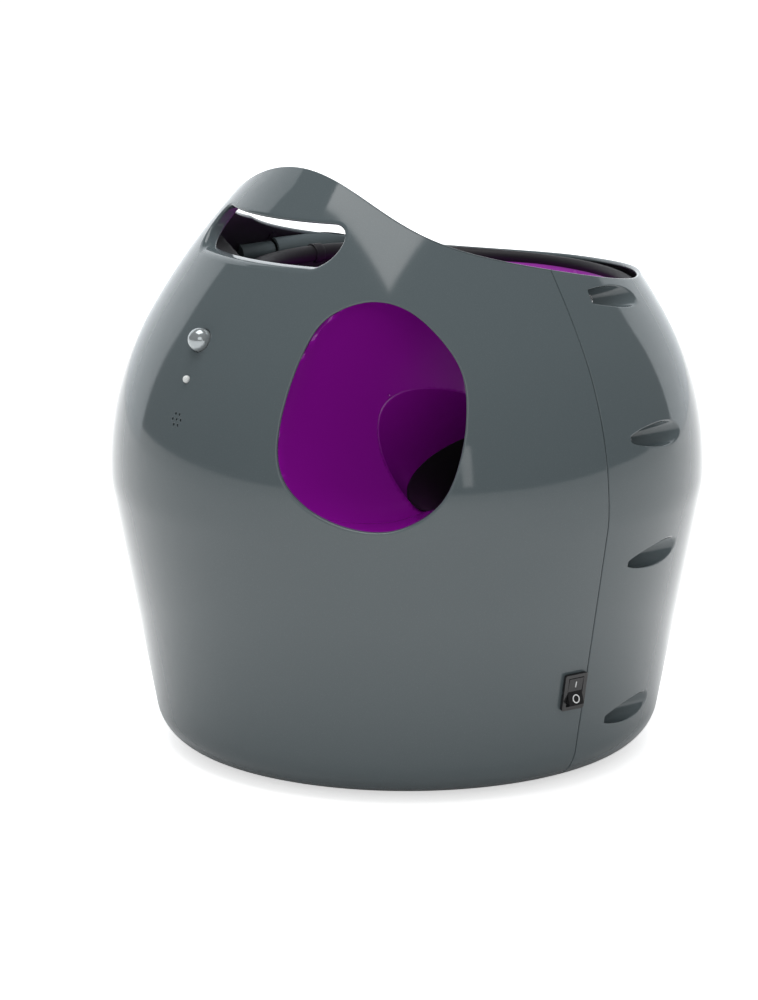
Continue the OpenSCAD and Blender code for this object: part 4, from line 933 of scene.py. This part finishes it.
def makeChute():
    # round tube that rises from the barrel's side to the bowl's drop ring
    c, around, up = launcher, 120, 20
    a = fullTurn(around)
    across = np.cross(chuteAxis, lineAxis)
    barrel = c["bore"] + c["wall"] + 0.2
    walls = []
    for r in (c["chuteRadius"], c["chuteRadius"] + 2.5):
        spread = r * np.cos(a)
        low = np.sqrt(np.maximum(barrel**2 - np.minimum(np.abs(spread), barrel - 0.5)**2, 0))
        rim = spread[:, None] * across + (r * np.sin(a))[:, None] * lineAxis + chuteFoot
        walls.append(np.stack([rim + (low * (1 - k) + c["chuteLength"] * k)[:, None] * chuteAxis
                               for k in np.linspace(0, 1, up)]))
    shape = Patches().grid(np.concatenate([walls[0], walls[1][::-1]]), wrapU=True, wrapV=True,
                           toward=fromAxis(chuteFoot, chuteAxis, -1), judged=(up - 1) * around)
    return addPiece("feedChuteSmooth", shape, violet, "feed_chute", "liner", sharp=50)


def fromCore(core, every):
    # away from the nearest point of a tube's middle line
    some = core[::every]
    return lambda p: p - some[np.argmin(np.linalg.norm(p[:, None] - some, axis=2), axis=1)]


def makeCollar():
    # rolled edge, and a deck that runs level behind and climbs under the hood
    h = hopper
    a = fullTurn(240)
    rollR, tube, rollZ = rollPath(a)
    ring = lambda r, z: np.stack([h["x"] + r * np.cos(a), h["y"] + r * np.sin(a), 0 * a + z], -1)
    rows = [ring(rollR + tube * cos(t), rollZ + tube * sin(t)) for t in fullTurn(28)]
    shape = Patches().grid(np.stack(rows), wrapU=True, wrapV=True, toward=fromCore(ring(rollR, rollZ), 8))
    skirt = bowlEdge(a) + h["wall"] + 0.3
    shape.grid(np.stack([ring(skirt, h["deckZ"] - 2.5), ring(skirt, rollZ)]), wrapV=True,
               toward=lambda p: -(p - [h["x"], h["y"], 0]) * [1, 1, 0])

    def top(x, y):
        front = easeBetween(-y, h["frontY"] - 5, h["frontY"] + 5)
        climb = np.maximum(np.hypot(x, y) - h["coneRadius"], 0) * h["coneRise"]
        return h["deckZ"] + front * (h["deckThick"] + 2 + climb)

    def pastWall(r):
        x, y, _ = ring(r, 0).T
        return np.hypot(x, y) >= skinRadius(top(x, y), casing["wall"] + 0.3)
    inner, outer = ring(rollR + 0.4 * tube, 0), ring(halve(rollR * 0.6, 150.0, pastWall), 0)
    rows = []
    for q in np.linspace(0, 1, 26):
        p = inner * (1 - q) + outer * q
        p[:, 2] = top(p[:, 0], p[:, 1])
        rows.append(p)
    under = [p - [0, 0, h["deckThick"] - 0.1] for p in (rows[-1], rows[0])]
    shape.grid(np.stack(rows), wrapV=True, toward=facing(0, 0, 1))
    shape.grid(np.stack([rows[-1], *under, rows[0]]), wrapV=True, toward=facing(0, 0, -1))
    return addPiece("hopperCollarSmooth", shape, blackGloss, "hopper_collar", "dark", sharp=40)


def makeSleeves():
    # short collars over the joints of the rolled edge, at its left and right
    h = hopper
    shape = Patches()
    turn = fullTurn(40)
    for middle in (0.0, pi):
        a = middle + h["sleeve"] * np.array([-1, -1, -0.9, -0.3, 0.3, 0.9, 1, 1])
        rollR, tube, rollZ = rollPath(a)
        size = (tube + h["sleeveProud"] * np.array([0.05, 0.7, 1, 1, 1, 1, 0.7, 0.05]))[:, None]
        r, z = rollR[:, None] + size * np.cos(turn), rollZ[:, None] + size * np.sin(turn)
        x, y = h["x"] + r * np.cos(a)[:, None], h["y"] + r * np.sin(a)[:, None]
        core = (h["x"] + rollR[0] * cos(middle), h["y"] + rollR[0] * sin(middle), rollZ[0])
        shape.grid(np.stack([x, y, z], -1), wrapV=True, toward=core)
    return addPiece("collarSleevesSmooth", shape, blackGloss, "collar_sleeves", "dark", sharp=50)


makeBowl()
makeChute()
makeCollar()
makeSleeves()
print("hopper done")


# ---------- launch spring ----------

spring = dict(wire=2.6, radius=20, turns=9, perTurn=48, sides=12, travel=45)


def makeSpring():
    # round wire along a helix between the breech cap and the plunger
    c = spring
    along = (np.array([v.co for v in nodes["launch_spring"].data.vertices]) / mm - mouth) @ lineAxis
    low, high = along.min(), along.max()
    i = np.linspace(0, 1, c["turns"] * c["perTurn"] + 1)
    out = acrossLine(2 * pi * c["turns"] * i)
    rise = low + c["wire"] / 2 + (high - low - c["wire"]) * i
    middle = mouth + rise[:, None] * lineAxis + c["radius"] * out
    b = fullTurn(c["sides"])
    size = c["wire"] / 2 * np.clip(np.minimum(i, 1 - i) / i[1], 0.01, 1)
    wire = (middle[:, None] + size[:, None, None] * (np.cos(b)[None, :, None] * out[:, None]
            + np.sin(b)[None, :, None] * lineAxis))
    shape = Patches().grid(wire, wrapV=True, toward=fromCore(middle, 4))
    piece = addPiece("launchSpringSmooth", shape, steel, "launch_spring", "steel", sharp=50)
    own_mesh(piece)
    return piece


makeSpring()
print("spring done")


# ---------- lenses and light ----------

def revolve(profile, wall, count=64):
    # profile of (radius, height) turned about a wall frame's z
    origin, ax, ay, az = wall
    a = fullTurn(count)
    p = np.asarray(profile, float)
    return (origin + p[:, None, :1] * (np.cos(a)[None, :, None] * ax + np.sin(a)[None, :, None] * ay)
            + p[:, None, 1:] * az)


def makeDome(name, node, azimuth, z, radius, rise, rings, count, foot, material):
    # rounded cap on a stem; foot continues the profile down to the flange behind the wall
    wall = wallAt(azimuth, z)
    profile = [(radius * sin(t), rise + radius * cos(t)) for t in np.linspace(0.002, pi / 2, rings)]
    profile += [(radius + out, low) for out, low in foot] + [(0.01, foot[-1][1] - 0.1)]
    shape = Patches().grid(revolve(profile, wall, count), wrapV=True, toward=wall[0] - wall[3])
    return addPiece(name, shape, material, node, "lens", sharp=40)


for name, node, azimuth in (("frontLens", "front_sensor_lens", 0), ("rearLens", "rear_sensor_lens", 180)):
    makeDome(name, node, azimuth, controls["lensZ"], controls["lensRadius"], 0.8, 16, 64,
             [(0, 0.0), (0, -4.0), (1.7, -4.1), (1.7, -4.9)], lensPlastic)
makeDome("statusLightSmooth", "status_light", 0, controls["ledZ"], controls["ledRadius"], 0, 10, 40,
         [(0, -4.4), (0.9, -4.4), (0.9, -5.9)], lightWhite)


# ---------- bevelled copies of the small moulded parts ----------

bevelled = {
    "power_switch": ("casing", switchBlack, 0.45), "power_rocker": ("rocker", switchBlack, 0.35),
    "distance_dial": ("dial", blackMatt, 0.4), "power_inlet": ("casing", switchBlack, 0.35),
    "base_plate": ("casing", greyMatt, 0.5), "battery_door": ("casing", greyMatt, 0.5),
    "rubber_feet": ("casing", footRubber, 0.4), "launch_barrel": ("casing", blackMatt, 0.2),
    "plunger": ("plunger", naturalPlastic, 0.3), "plunger_pad": ("plunger", footRubber, 0.4),
    "shell_screws": ("casing", steel, 0.15), "door_screw": ("casing", steel, 0.15)}


def bevelledCopy(node, body, material, width):
    # merges the loose triangles, joins flat ones and rounds the corners
    mesh = nodes[node].data.copy()
    weldMesh(mesh, flat=radians(0.6))
    bevel = dict(width=width * mm, segments=2, limit_method="ANGLE", angle_limit=radians(38),
                 use_clamp_overlap=True)
    return dress(node + "Bevelled", mesh, material, node, body=body, sharp=32, modifiers=[("BEVEL", bevel)])


for node, (body, material, width) in bevelled.items():
    bevelledCopy(node, body, material, width)
print("small parts bevelled")


# ---------- marks on the switch ----------

switch = dict(azimuth=86.6, z=58, proud=0.35, pivot=-0.6, swing=24, half=7.4, face=3.4, dip=1.2)


def makeSwitchMarks():
    # ring on the lower half and bar on the upper half of the rocker, laid on its dished face
    c = switch
    origin, ax, ay, az = wallFrame(c["azimuth"], float(skinRadius(c["z"])), c["z"], -casing["draft"])
    pivot = origin + (c["proud"] + c["pivot"]) * az
    lean = radians(-c["swing"] / 2)
    up = cos(lean) * ay + sin(lean) * az
    out = -sin(lean) * ay + cos(lean) * az
    slope = (c["dip"] + 0.8) / c["half"]

    def onFace(x, y):
        height = c["face"] - c["dip"] + np.abs(y) * slope + 0.06
        return pivot + x[..., None] * ax + y[..., None] * up + height[..., None] * out
    a = fullTurn(40)
    ring = np.stack([onFace(r * np.cos(a), -4.1 + r * np.sin(a)) for r in (1.75, 2.35)])
    bar = np.stack([onFace(np.array([-0.32, 0.32]), np.array([y, y])) for y in (2.2, 3.3, 4.4, 5.6)])
    shape = Patches().grid(ring, wrapV=True, toward=facing(*out)).grid(bar, toward=facing(*out))
    return addPiece("switchMarks", shape, markWhite, slot="switch", body="rocker",
                    modifiers=[("SOLIDIFY", dict(thickness=0.00008, offset=0.0))])


makeSwitchMarks()
print("marks done")


# ---------- studio ----------

studio = dict(azimuth=50, distance=2.0, height=0.594, pitch=12.9, lens=130.06, shift=-0.028,
              backRadius=2.6, backFrom=-72, backTo=-188, backLow=0.02, backHigh=2.6, backGlow=0.62,
              floorGlow=0.62, shadeNear=0.165, shadeFar=0.3, worldGlow=0.64, mirrorGlow=0.17)


def makeCamera():
    a = radians(studio["azimuth"])
    data = bpy.data.cameras.new("studioCamera")
    data.lens, data.sensor_width, data.shift_x = studio["lens"], 36, studio["shift"]
    data.clip_start, data.clip_end = 0.05, 30
    camera = bpy.data.objects.new("studioCamera", data)
    camera.location = (studio["distance"] * sin(a), -studio["distance"] * cos(a), studio["height"])
    camera.rotation_euler = (radians(90 - studio["pitch"]), 0, a)
    scene.collection.objects.link(camera)
    scene.camera = camera


def stageSheet(name, finishName, points, faces, **sockets):
    # a studio surface in metres with its Principled material
    data = bpy.data.meshes.new(name)
    data.from_pydata(points, [], faces)
    sheet = bpy.data.objects.new(name, data)
    scene.collection.objects.link(sheet)
    material = bpy.data.materials.new(finishName)
    material.use_nodes = True
    setInputs(material.node_tree.nodes["Principled BSDF"], **sockets)
    data.materials.append(material)
    return material.node_tree


def makeFloor():
    size = 9.0
    corners = [(-size, -size, 0), (size, -size, 0), (size, size, 0), (-size, size, 0)]
    tree = stageSheet("studioFloor", "floorWhite", corners, [(0, 1, 2, 3)], Base_Color=(0.86, 0.86, 0.86, 1),
                      Roughness=0.6, Emission_Color=(1, 1, 1, 1))
    # reflections see the glow too, fading out under the object: a painted shadow in the floor's reflections
    path, place, away, fade, mirror, direct, seen = addNodes(
        tree, "LightPath", "TexCoord", "VectorMath", "MapRange", "Math", "Math", "Math")
    away.operation, direct.operation = "LENGTH", "MAXIMUM"
    mirror.operation = seen.operation = "MULTIPLY"
    setInputs(fade, From_Min=studio["shadeNear"], From_Max=studio["shadeFar"])
    seen.inputs[1].default_value = studio["floorGlow"]
    joinUp(tree, (place, "Object", away, 0), (away, "Value", fade, "Value"), (fade, "Result", mirror, 0),
           (path, "Is Glossy Ray", mirror, 1), (path, "Is Camera Ray", direct, 0),
           (mirror, "Value", direct, 1),
           (direct, "Value", seen, 0), (seen, "Value", tree.nodes["Principled BSDF"], "Emission Strength"))


def makeBackdrop():
    # glowing curved screen behind the object: only its reflections show
    c, columns = studio, 40
    turn = np.radians(np.linspace(c["backFrom"], c["backTo"], columns))
    rows = [np.stack([c["backRadius"] * np.sin(turn), -c["backRadius"] * np.cos(turn), 0 * turn + z], -1)
            for z in (c["backLow"], c["backHigh"])]
    tree = stageSheet("studioScreen", "screenGlow", np.concatenate(rows).tolist(),
                      gridQuads(2, columns).tolist(), Base_Color=(0.8, 0.8, 0.8, 1),
                      Emission_Color=(0.86, 0.94, 1, 1), Emission_Strength=c["backGlow"])
    # the camera looks through it, so that it hides nothing in a view from behind
    path, solid = addNodes(tree, "LightPath", "Math")
    solid.operation = "SUBTRACT"
    solid.inputs[0].default_value = 1.0
    joinUp(tree, (path, "Is Camera Ray", solid, 1), (solid, "Value", tree.nodes["Principled BSDF"], "Alpha"))


def makeWorld():
    # white to the camera, dimmer as a light and dark in reflections
    world = bpy.data.worlds.new("studioWorld")
    scene.world = world
    world.use_nodes = True
    tree = world.node_tree
    background = tree.nodes["Background"]
    path, seen, fill, level = addNodes(tree, "LightPath", "Math", "Mix", "Mix")
    seen.operation = "MAXIMUM"
    setInputs(background, Color=(1, 1, 1, 1))
    setInputs(fill, A=studio["worldGlow"], B=studio["mirrorGlow"])
    setInputs(level, B=1.0)
    joinUp(tree, (path, "Is Camera Ray", seen, 0), (path, "Is Transmission Ray", seen, 1),
           (path, "Is Glossy Ray", fill, "Factor"), (fill, "Result", level, "A"),
           (seen, "Value", level, "Factor"), (level, "Result", background, "Strength"))


def addSoftbox(name, place, target, width, height, power):
    data = bpy.data.lights.new(name, "AREA")
    data.shape, data.size, data.size_y, data.energy = "RECTANGLE", width, height, power
    light = bpy.data.objects.new(name, data)
    light.location = place
    light.rotation_euler = (Vector(target) - Vector(place)).to_track_quat("-Z", "Y").to_euler()
    scene.collection.objects.link(light)


softboxes = [
    ("ceilingBox", (-0.02, -0.2, 2.3), (-0.02, -0.2, 0), 1.56, 1.6, 31),
    ("frontFill", (1.9, -1.5, 1.25), (0.1, -0.1, 0.2), 1.6, 1.2, 10),
    ("coolStrip", (1.57, -0.52, 0.42), (0.142, -0.077, 0.19), 0.1, 0.4, 0.25),
]
for box in softboxes:
    addSoftbox(*box)
makeFloor()
makeBackdrop()
makeWorld()
makeCamera()
scene.view_settings.view_transform = "Standard"
print("studio done")
